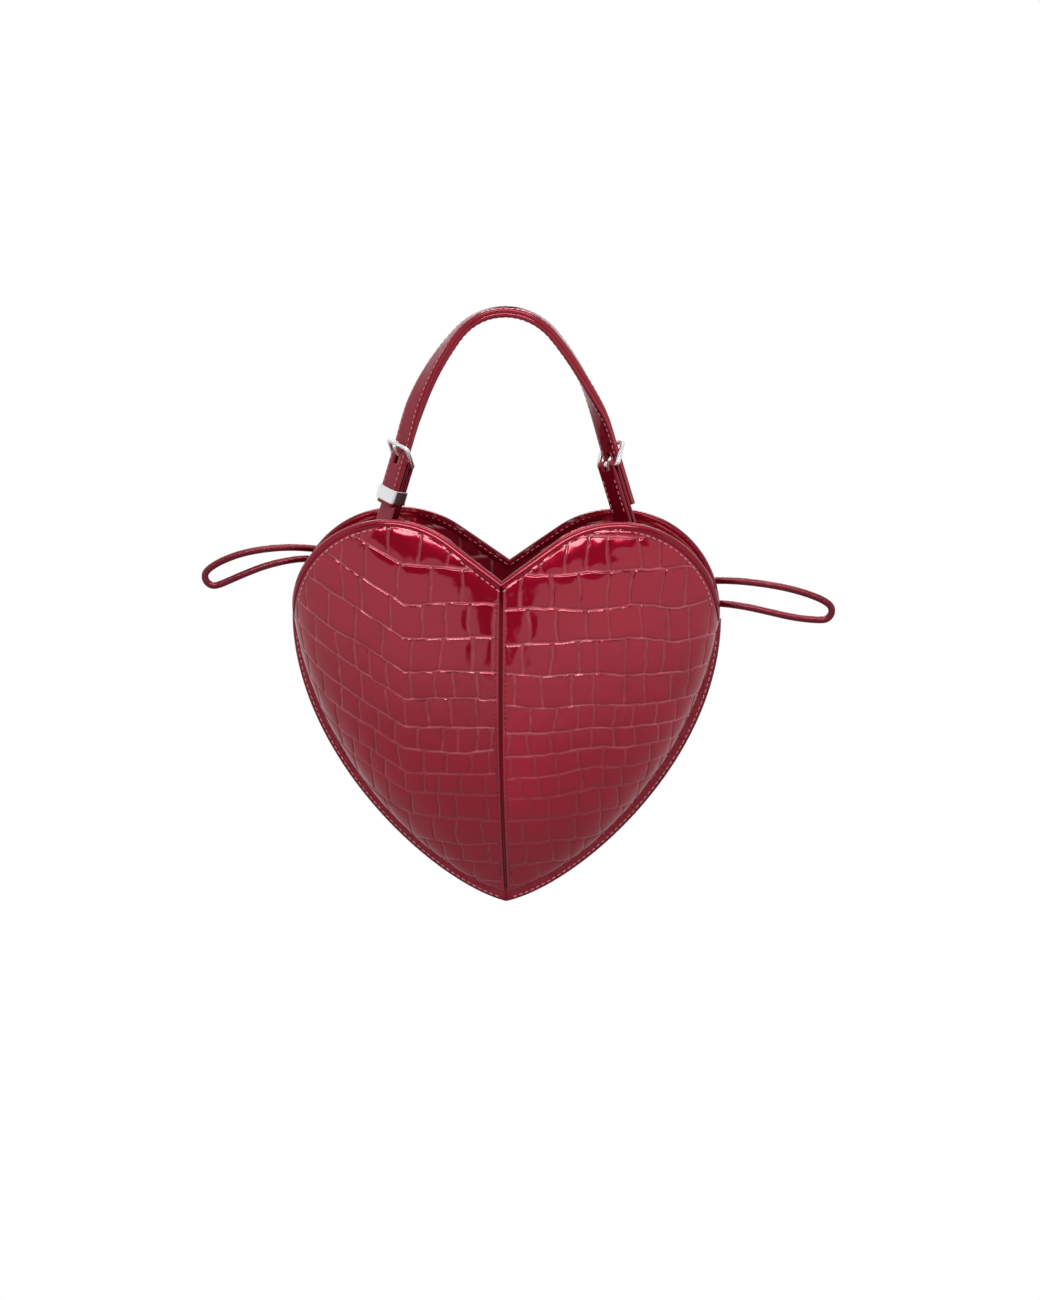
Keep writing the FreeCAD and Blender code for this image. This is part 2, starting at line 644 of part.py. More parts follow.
def make_buckle(name, leg):
    """Rectangular buckle frame, tilted outward through the strap, with a round pivot bar."""
    bar, reach = "Sizes.buckle_bar", "Sizes.buckle_reach"
    ring = ring_body(f"{name}_buckle_ring", "XZ_Plane",
                     ("Sizes.buckle_width", f"2 * ({reach} + {bar} / 2)"),
                     (f"Sizes.buckle_width - 2 * {bar}", f"2 * ({reach} - {bar} / 2)"), bar,
                     "buckle_round")
    upper = bound("Part::Box", f"{name}_buckle_upper", Length=f"Sizes.buckle_width + 2 * Sizes.overrun",
                  Width=f"{bar} + 2 * Sizes.overrun", Height=f"2 * {reach}")
    bind(upper, **{".Placement.Base.x": "-Sizes.buckle_width / 2 - Sizes.overrun",
                   ".Placement.Base.y": f"-{bar} / 2 - Sizes.overrun", ".Placement.Base.z": f"-{bar} / 2"})
    arms = doc.addObject("Part::Common", f"{name}_buckle_arms")
    arms.Base, arms.Tool = ring, upper
    pin = bound("Part::Cylinder", f"{name}_buckle_pin", Radius="Sizes.bar_radius",
                Height=f"Sizes.buckle_width - {bar}")
    pin.Placement = Placement(Vector(0, 0, 0), Rotation(Vector(0, 1, 0), 90))
    bind(pin, **{".Placement.Base.x": f"-(Sizes.buckle_width - {bar}) / 2"})
    frame = doc.addObject("Part::Fuse", f"buckle_frame_{name}")
    frame.Base, frame.Tool = arms, pin
    keep(frame, f"buckle_frame_{name}", leg.multiply(at_bar(size("buckle_tilt"))))


def at_bar(tilt_degrees):
    """Frame on the pivot bar of a leg, tilted outward."""
    return Placement(Vector(0, 0, size("tab_height")), Rotation(Vector(1, 0, 0), -tilt_degrees))


def make_prong(name, leg):
    """Prong: a ring that turns on the pivot bar and a round shank that rests on the frame."""
    eye = "(Sizes.bar_radius + Sizes.running_clearance)"
    ring_radius = f"({eye} + Sizes.prong_ring)"
    shank = bound("Part::Cylinder", f"{name}_prong_shank", Radius="Sizes.prong_radius",
                  Height="Sizes.buckle_reach + Sizes.prong_overhang")
    ring = bound("Part::Cylinder", f"{name}_prong_ring", Radius=ring_radius, Height="Sizes.prong_width")
    hole = bound("Part::Cylinder", f"{name}_prong_eye", Radius=eye,
                 Height="Sizes.prong_width + 2 * Sizes.overrun")
    for cylinder, start in ((ring, "-Sizes.prong_width / 2"),
                            (hole, "-Sizes.prong_width / 2 - Sizes.overrun")):
        cylinder.Placement = Placement(Vector(0, 0, 0), Rotation(Vector(0, 1, 0), 90))
        bind(cylinder, **{".Placement.Base.x": start})
    whole = doc.addObject("Part::Fuse", f"{name}_prong_whole")
    whole.Base, whole.Tool = shank, ring
    prong = doc.addObject("Part::Cut", f"prong_{name}")
    prong.Base, prong.Tool = whole, hole
    keep(prong, f"prong_{name}", leg.multiply(at_bar(math.degrees(PRONG_ANGLE))))


def make_keeper(leg):
    """Metal keeper round the left tab and the tail of the strap."""
    half = "(Sizes.bar_radius + Sizes.bar_clearance + Sizes.tab_layer)"
    room = "2 * Sizes.glue_gap"
    depth = f"(2 * {half} + Sizes.leg_thickness + Sizes.glue_gap + {room})"
    width = f"(Sizes.strap_width + {room})"
    body = ring_body("strap_keeper", "XY_Plane",
                     (f"{width} + 2 * Sizes.keeper_wall", f"{depth} + 2 * Sizes.keeper_wall"),
                     (width, depth), "Sizes.keeper_height", "keeper_round")
    middle = (size("leg_thickness") + size("glue_gap")) / 2
    rise = size("keeper_rise") + size("keeper_height") / 2
    keep(body, "strap_keeper", leg.multiply(Placement(Vector(0, middle, rise), Rotation())))


SNAP_HEIGHT = CLEFT_HEIGHT - size("snap_drop")


def snap_seat(face):
    """Distance of the snap's back from the centre plane, clear of the curved lining."""
    return wall_at(face, size("snap_radius"), SNAP_HEIGHT, WALL) - size("sewing_gap")


def snap_place(face):
    """Frame of a snap half, square to the lining: its +Z points into the purse."""
    reach = size("snap_radius")
    rise = wall_at(face, 0, SNAP_HEIGHT + reach, WALL) - wall_at(face, 0, SNAP_HEIGHT - reach, WALL)
    turn = Rotation(Vector(1, 0, 0), face * (90 - math.degrees(math.atan2(rise, 2 * reach))))
    return AT_REST.multiply(Placement(Vector(0, face * snap_seat(face), SNAP_HEIGHT), turn))


def post_length(face):
    """From the back of a snap half through the lining to the far side of its washer."""
    through = wall_at(face, 0, SNAP_HEIGHT, LINING_DEPTH) - snap_seat(face)
    return through + size("glue_gap") + size("washer_thickness")


def make_snap(shapes):
    """Magnetic snap: a socket with a ring magnet on the front, a stud on the back, each with a washer."""
    post = Part.makeCylinder(size("snap_post_radius"), post_length(-1), Vector(), Vector(0, 0, -1))
    cup = Part.makeCylinder(size("snap_radius"), size("snap_socket_height"))
    room_radius = size("snap_magnet_radius") + size("glue_gap")
    room_height = size("snap_magnet_height") + 2 * size("glue_gap")
    room = Part.makeCylinder(room_radius, room_height, Vector(0, 0, size("snap_wall")))
    mouth_radius = size("snap_nub_radius") + size("glue_gap")
    mouth = Part.makeCylinder(mouth_radius, size("snap_socket_height"), Vector(0, 0, size("snap_wall")))
    socket = cup.cut(room).cut(mouth).fuse(post)
    magnet = Part.makeCylinder(size("snap_magnet_radius"), size("snap_magnet_height"),
                               Vector(0, 0, size("snap_wall") + size("glue_gap")))
    magnet = magnet.cut(Part.makeCylinder(mouth_radius, size("snap_socket_height")))
    plate = Part.makeCylinder(size("snap_radius"), size("snap_stud_height"))
    nub = Part.makeCylinder(size("snap_nub_radius"), size("snap_stud_height") + size("snap_nub_height"))
    back_post = Part.makeCylinder(size("snap_post_radius"), post_length(1), Vector(), Vector(0, 0, -1))
    stud = plate.fuse(nub).fuse(back_post)
    keep_shape(socket.removeSplitter(), "snap_socket", snap_place(-1))
    keep_shape(magnet, "snap_magnet", snap_place(-1))
    keep_shape(stud.removeSplitter(), "snap_stud", snap_place(1))
    hole_radius = size("snap_post_radius") + size("glue_gap")
    washers = []
    for face_name, face in (("front", -1), ("back", 1)):
        place = AT_REST.inverse().multiply(snap_place(face))
        washer = Part.makeCylinder(size("washer_radius"), size("washer_thickness"))
        washer = washer.cut(Part.makeCylinder(size("snap_post_radius") + size("running_clearance"),
                                              size("washer_thickness")))
        washer.translate(Vector(0, 0, -post_length(face)))
        washer.Placement = place.multiply(washer.Placement)
        washers.append(washer)
        reach = WALL + size("overrun")
        hole = Part.makeCylinder(hole_radius, 2 * reach, Vector(0, 0, -reach))
        hole.Placement = place.multiply(hole.Placement)
        for side in ("left", "right"):
            lining = f"{face_name}_lining_{side}"
            shapes[lining] = shapes[lining].cut(hole)
        window = Part.makeCylinder(size("washer_radius") + size("sewing_gap"), 2 * reach, Vector(0, 0, -reach))
        window.Placement = place.multiply(window.Placement)
        tape = f"{face_name}_seam_tape"
        shapes[tape] = shapes[tape].cut(window)
    keep_shape(Part.makeCompound(washers), "snap_washers", AT_REST)


def loop_path(points):
    """Straight runs joined by tangent arcs, each as large as its two runs allow."""
    points = [Vector(*point) for point in points]
    edges, radii = [], []
    start = points[0]
    for before, corner, after in zip(points, points[1:], points[2:]):
        back, ahead = before - corner, after - corner
        half_turn = (math.pi - back.getAngle(ahead)) / 2
        trim = BEND_SHARE * min(back.Length, ahead.Length)
        radii.append(trim / math.tan(half_turn))
        back.normalize()
        ahead.normalize()
        first, last = corner + back * trim, corner + ahead * trim
        bisector = (back + ahead).normalize()
        middle = corner + bisector * (math.hypot(trim, radii[-1]) - radii[-1])
        edges.append(Part.LineSegment(start, first).toShape())
        edges.append(Part.Arc(first, middle, last).toShape())
        start = last
    edges.append(Part.LineSegment(start, points[-1]).toShape())
    return Part.Wire(edges), radii


def make_loop(name, points):
    """Slender rolled leather loop at a side of the purse."""
    wire, radii = loop_path(points)
    start, ahead = Vector(*points[0]), Vector(*points[1]) - Vector(*points[0])
    section = Part.Wire(Part.makeCircle(size("loop_radius"), start, ahead))
    tube = wire.makePipeShell([section], True, False)
    expected = math.pi * size("loop_radius") ** 2 * wire.Length
    print(f"{name}: length {wire.Length:.1f}, least radius {min(radii):.2f}, "
          f"volume {tube.Volume:.0f} of {expected:.0f}")
    keep_shape(tube, name, AT_REST)


def make_loop_anchor(side, points):
    """Folded leather anchor on the back panel that takes the two ends of a loop."""
    ends = [Vector(*points[0]), Vector(*points[-1])]
    outer = min(abs(end.x) for end in ends) - size("loop_radius")
    inner = outer - 4 * size("loop_radius")
    low = min(end.z for end in ends) - 2 * size("loop_radius")
    high = max(end.z for end in ends) + 2 * size("loop_radius")
    grids = []
    for inward in (-size("sewing_gap") - size("anchor_thickness"), -size("sewing_gap")):
        grids.append([[Vector(side * across, wall_at(1, across, height, inward), height)
                       for height in steps(low, high, 4)] for across in steps(inner, outer, 4)])
    return thick_patch(*grids)


walls = make_walls()
for face_name, face in (("front", -1), ("back", 1)):
    walls[f"{face_name}_seam_tape"] = make_seam_tape(face)
make_snap(walls)
for label, shape in walls.items():
    keep_shape(shape, label, AT_REST)
for face_name, face in (("front", -1), ("back", 1)):
    for side_name, side in (("left", -1), ("right", 1)):
        keep_shape(make_binding(side, face), f"{face_name}_binding_{side_name}", AT_REST)
keep_shape(make_welt(), "seam_welt", AT_REST)
for side_name, side, route in (("left", -1, LEFT_LOOP), ("right", 1, RIGHT_LOOP)):
    keep_shape(make_gusset(side), f"gusset_{side_name}", AT_REST)
    keep_shape(make_tab_foot(side), f"tab_foot_{side_name}", AT_REST)
    make_loop(f"side_loop_{side_name}", route)
    keep_shape(make_loop_anchor(side, route), f"loop_anchor_{side_name}", AT_REST)
make_handle_strap()
for side_name, leg in LEGS:
    make_tab(side_name, leg)
    make_buckle(side_name, leg)
    make_prong(side_name, leg)
make_keeper(LEFT_LEG)
doc.recompute()

faults = [obj.Name for obj in doc.Objects if {"Invalid", "Error"} & set(obj.State)]
faults += [node.Label for node in NODES if node.Shape.isNull() or not node.Shape.isValid()]
if faults:
    raise RuntimeError("not built: " + ", ".join(faults))
os.makedirs("parts", exist_ok=True)
for node in NODES:
    node.Shape.exportStep(f"parts/{node.Label}.step")
print(f"{len(NODES)} parts written")
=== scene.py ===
import math

import bpy
import numpy as np
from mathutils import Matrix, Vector


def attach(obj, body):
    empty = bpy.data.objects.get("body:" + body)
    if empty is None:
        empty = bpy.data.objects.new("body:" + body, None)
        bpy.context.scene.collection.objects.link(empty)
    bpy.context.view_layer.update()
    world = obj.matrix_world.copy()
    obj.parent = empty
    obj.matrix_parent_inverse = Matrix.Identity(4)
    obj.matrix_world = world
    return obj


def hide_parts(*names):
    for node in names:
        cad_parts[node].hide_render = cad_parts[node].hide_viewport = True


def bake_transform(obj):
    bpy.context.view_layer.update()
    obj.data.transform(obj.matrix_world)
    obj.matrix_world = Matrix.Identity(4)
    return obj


# Heart shaped purse. Lengths are millimetres above the tip of the heart until they go into a mesh.
# A side is -1 on the left and 1 on the right, a face is -1 in front and 1 behind.
MM_PER_M = 1000
SIDES = ((-1, "left"), (1, "right"))
FACES = ((-1, "front"), (1, "back"))

# Outline and depth of the heart
LOBE, SPREAD, WIDEST, TIP = 48.0, 53.0, 140.6, 5.0
SLOPE = math.radians(36)
DOME_WIDTH = SPREAD + LOBE
TOP = WIDEST + LOBE
CLEFT = WIDEST + LOBE / math.cos(SLOPE) - SPREAD * math.tan(SLOPE)
DOME_SHARES = ((0, 0), (0.329, 0.059), (0.908, 0.463), (1, 1))
FLARE = (1 - DOME_SHARES[2][0]) / (1 - DOME_SHARES[2][1]) / (WIDEST - TIP)
DEPTH = {-1: 38.0, 1: 33.0}
FULLEST, FALL = 107.3, 0.38
FACE_OFFSET, PANEL, WALL = 1.5, 1.4, 3.4
FACING_INSET = WALL + 0.45
GUSSET = LOBE - 8.3
GUSSET_THICK, GUSSET_DIP = 1.2, 0.9

# Handle; heights along a leg are measured from the fold axis
TWIST, LEAN = math.radians(45), math.radians(17)
FOOT_X, TAB, BAR, FOOT_STACK = 56.0, 2.2, 27.3, 1.7
STRAP, LEG_THICK, ARCH_THICK, STRAP_OFFSET = 11.0, 2.8, 4.4, 3.8
AXIS = WIDEST + GUSSET + FOOT_STACK + STRAP / 2 * math.cos(TWIST) + TAB * math.sin(TWIST)
SHOULDER_RISE, APEX_RISE, TAIL_RISE = 40.0, 97.6, 6.4
CROWN, CROWN_HALF = 29.0, math.radians(50)
GRIP = AXIS + APEX_RISE - ARCH_THICK / 2
TWIST_POWERS = {-1: 1, 1: 3}
PRONG_SLOT, SLOT_LOW, SLOT_HIGH, EYE_SLOT = 1.2, 26.2, 32.9, 1.4
TILT = math.radians(40)
FRAME_REACH, PRONG_LIFT = 10, 1.95
PRONG = TILT + math.asin(PRONG_LIFT / FRAME_REACH)

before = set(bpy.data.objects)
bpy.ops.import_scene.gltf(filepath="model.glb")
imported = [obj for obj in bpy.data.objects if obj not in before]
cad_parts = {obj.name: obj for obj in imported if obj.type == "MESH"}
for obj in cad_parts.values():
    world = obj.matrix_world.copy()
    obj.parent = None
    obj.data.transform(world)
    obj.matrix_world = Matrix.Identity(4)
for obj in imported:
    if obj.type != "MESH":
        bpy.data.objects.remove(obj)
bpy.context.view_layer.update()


# Small tools

TINY = 1e-12
LATTICE = 64
STITCH_SHARES = np.array([0, 0.12, 0.5, 0.88, 1])[:, None]
STITCH_SIZES = np.array([0.25, 0.8, 1.0, 0.8, 0.25])[:, None]
STITCH_SIDES, STITCH_RISE = 6, 0.9


def to_row(points):
    """From millimetres above the tip to metres from the grip."""
    points = np.asarray(points, float).reshape(-1, 3)
    return (points - (0, 0, GRIP)) / MM_PER_M


def smooth(x, low, high):
    """Soft step from 0 at one limit to 1 at the other."""
    x = np.clip((x - low) / (high - low), 0, 1)
    return x * x * (3 - 2 * x)


def ramp(x, amount, low, high):
    return amount * smooth(x, low, high)


def bell(x, width):
    return np.exp(-(x / width) ** 2)


def unit(v):
    return v / np.maximum(np.linalg.norm(v, axis=-1, keepdims=True), TINY)


def xyz(x, y, z):
    """Points from three coordinates, numbers or arrays."""
    return np.stack(np.broadcast_arrays(x, y, z), -1)


def ways_along(points):
    """Distance of each point of a path from its start."""
    return np.r_[0, np.cumsum(np.linalg.norm(np.diff(points, axis=0), axis=1))]


def at_way(values, ways, way):
    """Values of a path at distances from its start."""
    return np.stack([np.interp(way, ways, values[:, k]) for k in range(values.shape[1])], -1)


def grid_faces(nu, nv, loop_u=False, loop_v=False, flip=False):
    rows, columns = np.arange(nu if loop_u else nu - 1), np.arange(nv if loop_v else nv - 1)
    i, j = np.meshgrid(rows, columns, indexing="ij")
    k, m = (i + 1) % nu, (j + 1) % nv
    faces = np.stack([i * nv + j, k * nv + j, k * nv + m, i * nv + m], -1).reshape(-1, 4)
    return faces[:, ::-1] if flip else faces


def make(name, points, faces, mat, **attributes):
    """Smooth mesh; the numbers of an attribute repeat over its points."""
    data = bpy.data.meshes.new(name)
    data.from_pydata(to_row(points).tolist(), [], [list(map(int, face)) for face in faces])
    for key, values in attributes.items():
        layer = data.attributes.new(key, "FLOAT", "POINT").data
        layer.foreach_set("value", np.resize(values, len(layer)).astype(np.float32))
    data.polygons.foreach_set("use_smooth", np.ones(len(data.polygons), bool))
    data.materials.append(mat)
    data.update()
    obj = bpy.data.objects.new(name, data)
    bpy.context.scene.collection.objects.link(obj)
    return obj


def dress(obj, body, slot, *nodes):
    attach(obj, body)
    if nodes:
        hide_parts(*nodes)


def noise_at(x, y, seed):
    """Smooth noise in -1..1 on a unit lattice."""
    table = np.random.default_rng(seed).uniform(-1, 1, (LATTICE, LATTICE))
    xi, yi = np.floor(x).astype(int), np.floor(y).astype(int)
    fx, fy = smooth(x - xi, 0, 1), smooth(y - yi, 0, 1)
    here, right = xi % LATTICE, (xi + 1) % LATTICE
    low, high = yi % LATTICE, (yi + 1) % LATTICE
    below = table[here, low] * (1 - fx) + table[right, low] * fx
    above = table[here, high] * (1 - fx) + table[right, high] * fx
    return below * (1 - fy) + above * fy


def rounded(width, height, power=6, count=28):
    """Rounded rectangle, squarer with a higher power."""
    angle = np.arange(count) * 2 * math.pi / count
    c, s = np.cos(angle), np.sin(angle)
    return np.stack([np.sign(c) * np.abs(c) ** (2 / power) * width / 2,
                     np.sign(s) * np.abs(s) ** (2 / power) * height / 2], -1)


def sections_of(section, thick):
    """One section for each place of a path, of its own thickness."""
    return np.stack(np.broadcast_arrays(section[:, 0], section[:, 1] * thick[:, None]), -1)


def sweep(centres, across, out, sections, closed=False):
    """Rings of section points (across, out) along a path."""
    rings = centres[:, None] + across[:, None] * sections[..., :1] + out[:, None] * sections[..., 1:]
    count = rings.shape[1]
    faces = grid_faces(len(rings), count, closed, True).tolist()
    if not closed:
        last = (len(rings) - 1) * count
        faces += [list(range(count)), list(range(last + count - 1, last - 1, -1))]
    return rings.reshape(-1, 3), faces


def cut_slot(faces, section, half_width, first, last):
    """Opens a slot through a swept strip; its walls come last."""
    def at(row, column):
        return row * len(section) + column

    a, b, c, d = np.flatnonzero(np.abs(section[:, 0]) == half_width)
    gone = {at(row, column) for row in range(first, last) for column in (a, c)}
    walls = [[at(first, b), at(first, a), at(first, d), at(first, c)],
             [at(last, a), at(last, b), at(last, c), at(last, d)]]
    for row in range(first, last):
        walls.append([at(row, a), at(row + 1, a), at(row + 1, d), at(row, d)])
        walls.append([at(row + 1, b), at(row, b), at(row, c), at(row + 1, c)])
    return [face for face in faces if face[0] not in gone] + walls, len(walls)


def flatten_last(obj, count):
    for polygon in obj.data.polygons[len(obj.data.polygons) - count:]:
        polygon.use_smooth = False


def stitches(name, rows, body, pitch=3.0, length=2.2, thick=0.34, thread=None):
    """Thread along rows of (points, normals), each stitch a small rounded bar."""
    verts, faces = [], []
    rings = rounded(2, 2, 2, STITCH_SIDES) * thick * STITCH_SIZES[..., None]
    for points, normals in rows:
        ways = ways_along(points)
        for spot in np.arange(pitch / 2, ways[-1] - pitch / 2, pitch):
            start, end = (at_way(points, ways, spot + half) for half in (-length / 2, length / 2))
            normal = unit(at_way(normals, ways, spot))
            side = np.cross(normal, unit(end - start))
            rise = thick * (STITCH_RISE * STITCH_SIZES - 1)
            centres = start + (end - start) * STITCH_SHARES + normal * rise
            bar, bar_faces = sweep(centres, side[None], normal[None], rings)
            faces += [[len(verts) + k for k in face] for face in bar_faces]
            verts.extend(bar)
    obj = make(name, verts, faces, thread or THREAD)
    dress(obj, body, "smooth_leather")


# Material tools

MIX_FACTOR, MIX_FIRST, MIX_SECOND, MIX_RESULT = 0, 6, 7, 2
GRAIN_DISTANCE, GRAIN_DETAIL, MOTTLE_DETAIL = 0.0002, 3, 4


def set_inputs(node, values):
    for name, value in values.items():
        node.inputs[name].default_value = value


def material(name, color, roughness, coat=0.0, metallic=0.0, coat_roughness=0.03):
    mat = bpy.data.materials.new(name)
    mat.use_nodes = True
    set_inputs(mat.node_tree.nodes["Principled BSDF"], {
        "Base Color": (*color, 1), "Roughness": roughness, "Metallic": metallic,
        "Coat Weight": coat, "Coat Roughness": coat_roughness})
    return mat


def leather(name, color, roughness, coat=1.0, coat_roughness=0.04):
    """Dyed leather with a coloured gloss below its clear coat."""
    mat = material(name, color, roughness, coat, coat_roughness=coat_roughness)
    set_inputs(mat.node_tree.nodes["Principled BSDF"], {
        "IOR": 1.8, "Specular IOR Level": 0.8, "Specular Tint": (*GLOSS, 1), "Coat IOR": 1.5})
    return mat


def mask_of(mat, attribute):
    read = mat.node_tree.nodes.new("ShaderNodeAttribute")
    read.attribute_name = attribute
    return read.outputs["Fac"]


def patches_of(mat, scale, detail):
    nodes, links = mat.node_tree.nodes, mat.node_tree.links
    place = nodes.new("ShaderNodeTexCoord")
    noise = nodes.new("ShaderNodeTexNoise")
    set_inputs(noise, {"Scale": scale, "Detail": detail})
    links.new(place.outputs["Object"], noise.inputs["Vector"])
    return noise.outputs["Fac"]


def color_mix(tree, factor, first, second):
    """Mix of two colours, each a socket or a value, by a factor socket."""
    mix = tree.nodes.new("ShaderNodeMix")
    mix.data_type = "RGBA"
    tree.links.new(factor, mix.inputs[MIX_FACTOR])
    for index, color in ((MIX_FIRST, first), (MIX_SECOND, second)):
        if isinstance(color, bpy.types.NodeSocket):
            tree.links.new(color, mix.inputs[index])
        else:
            mix.inputs[index].default_value = color
    return mix.outputs[MIX_RESULT]


def dye(mat, factor, color):
    """Mixes the base colour towards another by a factor socket."""
    tree = mat.node_tree
    base = tree.nodes["Principled BSDF"].inputs["Base Color"]
    first = base.links[0].from_socket if base.is_linked else base.default_value[:]
    tree.links.new(color_mix(tree, factor, first, (*color, 1)), base)


def tint(mat, attribute, color):
    """Dyes a material where a mesh attribute says so."""
    dye(mat, mask_of(mat, attribute), color)


def mottle(mat, scale, color):
    """Broad uneven patches in the dye."""
    dye(mat, patches_of(mat, scale, MOTTLE_DETAIL), color)


def matt_where(mat, attribute):
    """Takes the clear coat away where a mesh attribute says so."""
    nodes, links = mat.node_tree.nodes, mat.node_tree.links
    rest = nodes.new("ShaderNodeMath")
    rest.operation = "SUBTRACT"
    rest.inputs[0].default_value = 1.0
    links.new(mask_of(mat, attribute), rest.inputs[1])
    links.new(rest.outputs[0], nodes["Principled BSDF"].inputs["Coat Weight"])


def grain(mat, scale, strength):
    """Fine unevenness of a surface."""
    nodes, links = mat.node_tree.nodes, mat.node_tree.links
    bump = nodes.new("ShaderNodeBump")
    set_inputs(bump, {"Strength": strength, "Distance": GRAIN_DISTANCE})
    links.new(patches_of(mat, scale, GRAIN_DETAIL), bump.inputs["Height"])
    for normal in ("Normal", "Coat Normal"):
        links.new(bump.outputs["Normal"], nodes["Principled BSDF"].inputs[normal])


# Materials

RED, BRIGHT, GLOSS = (0.165, 0.0010, 0.008), (0.235, 0.0016, 0.013), (1.0, 0.03, 0.10)

# Embossed leather outside
CROC = leather("croc_patent", color=RED, roughness=0.16, coat_roughness=0.03)
mottle(CROC, scale=42, color=BRIGHT)
# Painted light: redder dye low on the front and on its right half, where light falls
tint(CROC, "painted_light", color=(0.36, 0.0024, 0.022))
# Painted highlights: pale pink on the groove lines, where the lacquer catches the light
tint(CROC, "groove", color=(0.60, 0.135, 0.17))
tint(CROC, "shade", color=(0.015, 0.0005, 0.002))
grain(CROC, scale=260, strength=0.14)

# Embossed leather inside the mouth, its dye lightened as painted light and its groove lines painted as
# highlights
PAINTED_LIGHT_FACING = leather("croc_facing_painted_light", color=(0.30, 0.010, 0.026), roughness=0.20)
# Painted highlights on the groove lines inside the mouth
tint(PAINTED_LIGHT_FACING, "groove", color=(0.95, 0.55, 0.58))
grain(PAINTED_LIGHT_FACING, scale=260, strength=0.14)

# Smooth leather of the rims, welt and handle, with painted edges; on the back rim partly painted shade
SMOOTH = leather("smooth_patent", color=RED, roughness=0.20)
mottle(SMOOTH, scale=90, color=BRIGHT)
tint(SMOOTH, "edge", color=(0.035, 0.001, 0.004))
matt_where(SMOOTH, "edge")
grain(SMOOTH, scale=420, strength=0.10)

# Rolled leather of the side loops
LOOP = leather("rolled_leather", color=(0.05, 0.0006, 0.003), roughness=0.30, coat=0.6, coat_roughness=0.1)
grain(LOOP, scale=900, strength=0.8)

# Thread and metal
THREAD = material("thread", color=(0.58, 0.20, 0.23), roughness=0.40, coat=0.4)
grain(THREAD, scale=2600, strength=0.4)
SEAM_THREAD = material("seam_thread", color=(0.10, 0.004, 0.010), roughness=0.45, coat=0.3)
grain(SEAM_THREAD, scale=2600, strength=0.4)
METAL = material("polished_metal", color=(0.93, 0.93, 0.94), roughness=0.22, metallic=1.0)
grain(METAL, scale=900, strength=0.02)
DARK = material("magnet", color=(0.05, 0.05, 0.05), roughness=0.5)


# Form of the heart

BISECTIONS, ARC_PARTS = 50, 12
SEAM_LEAN, LEAN_WIDTH, LEAN_LOW, LEAN_TOP, LEAN_POWER = 0.5, 11.0, 105, CLEFT + 8, 1.3
ROLL, ROLL_REACH, ROLL_FADE = 0.6, 10, (60, 88)
NORMAL_STEP, SIDE_ON = 0.05, 1e-9


def bezier(shares, t):
    weights = ((1 - t) ** 3, 3 * (1 - t) ** 2 * t, 3 * (1 - t) * t ** 2, t ** 3)
    return (sum(w * share[0] for w, share in zip(weights, shares)),
            sum(w * share[1] for w, share in zip(weights, shares)))


CURVE_ACROSS, CURVE_UP = bezier(DOME_SHARES, np.linspace(0, 1, num=3000))
CURVE_UP = TIP + CURVE_UP * (WIDEST - TIP)


def dome_width(z):
    """Half width of the dome, which flares above the widest height."""
    return np.where(z >= WIDEST, DOME_WIDTH * (1 + FLARE * (z - WIDEST)),
                    DOME_WIDTH * np.interp(z, CURVE_UP, CURVE_ACROSS))


def dome_depth(z, face):
    fall = DEPTH[face] * (1 - FALL * ((z - FULLEST) / (TOP - FULLEST)) ** 2)
    share = np.clip((z - TIP) / (FULLEST - TIP), 0, 1)
    rise = PANEL + (DEPTH[face] - PANEL) * np.sin(math.pi / 2 * share)
    return np.where(z > FULLEST, fall, rise)


def rim_height(x, beyond=0.0):
    radius = LOBE + beyond
    reach = np.minimum(np.abs(x - SPREAD), radius)
    line = CLEFT + beyond / math.cos(SLOPE) + x * math.tan(SLOPE)
    lobe = WIDEST + np.sqrt(np.maximum(radius ** 2 - reach ** 2, 0))
    return np.where(x < SPREAD - radius * math.sin(SLOPE), line, lobe)


def rim_on_line(theta, beyond=0.0):
    """Height at which each upright line of the dome meets the rim."""
    low, high = np.full(theta.shape, WIDEST), np.full(theta.shape, TOP + beyond)
    for _ in range(BISECTIONS):
        mid = (low + high) / 2
        above = rim_height(dome_width(mid) * np.sin(theta), beyond) > mid
        low, high = np.where(above, mid, low), np.where(above, high, mid)
    return mid


def rim_gap(x, z):
    """Distance below the rim, in the plane of the heart."""
    x = np.abs(x)
    line = (CLEFT + x * math.tan(SLOPE) - z) * math.cos(SLOPE)
    lobe = LOBE - np.hypot(x - SPREAD, z - WIDEST)
    angle = np.arctan2(z - WIDEST, x - SPREAD)
    gap = np.where(angle > math.pi / 2 + SLOPE, line, lobe)
    gap = np.where((x < SPREAD) & (z < CLEFT), np.maximum(line, lobe), gap)
    return np.where(z < WIDEST, LOBE, gap)


def lean_back(x, z):
    """How far the leather leans back beside the upper seam and towards the rim."""
    seam = SEAM_LEAN * bell(x, LEAN_WIDTH) * smooth(z, LEAN_LOW, LEAN_TOP) ** LEAN_POWER
    rim = ROLL * (1 - np.clip(rim_gap(x, z) / ROLL_REACH, 0, 1)) ** 2
    return seam + rim * (1 - smooth(np.abs(x), *ROLL_FADE))


def dome(side, face, theta, z, inward=0.0):
    x = (dome_width(z) - inward) * np.sin(theta)
    y = FACE_OFFSET + (dome_depth(z, face) - inward) * np.cos(theta) - lean_back(x, z)
    return xyz(side * x, face * y, z)


def wall(face, x, z, inward=0.0):
    """Distance of the wall from the middle plane at places of the heart."""
    share = np.clip(np.abs(x) / (dome_width(z) - inward), 0, 1)
    return FACE_OFFSET + (dome_depth(z, face) - inward) * np.sqrt(1 - share ** 2) - lean_back(x, z)


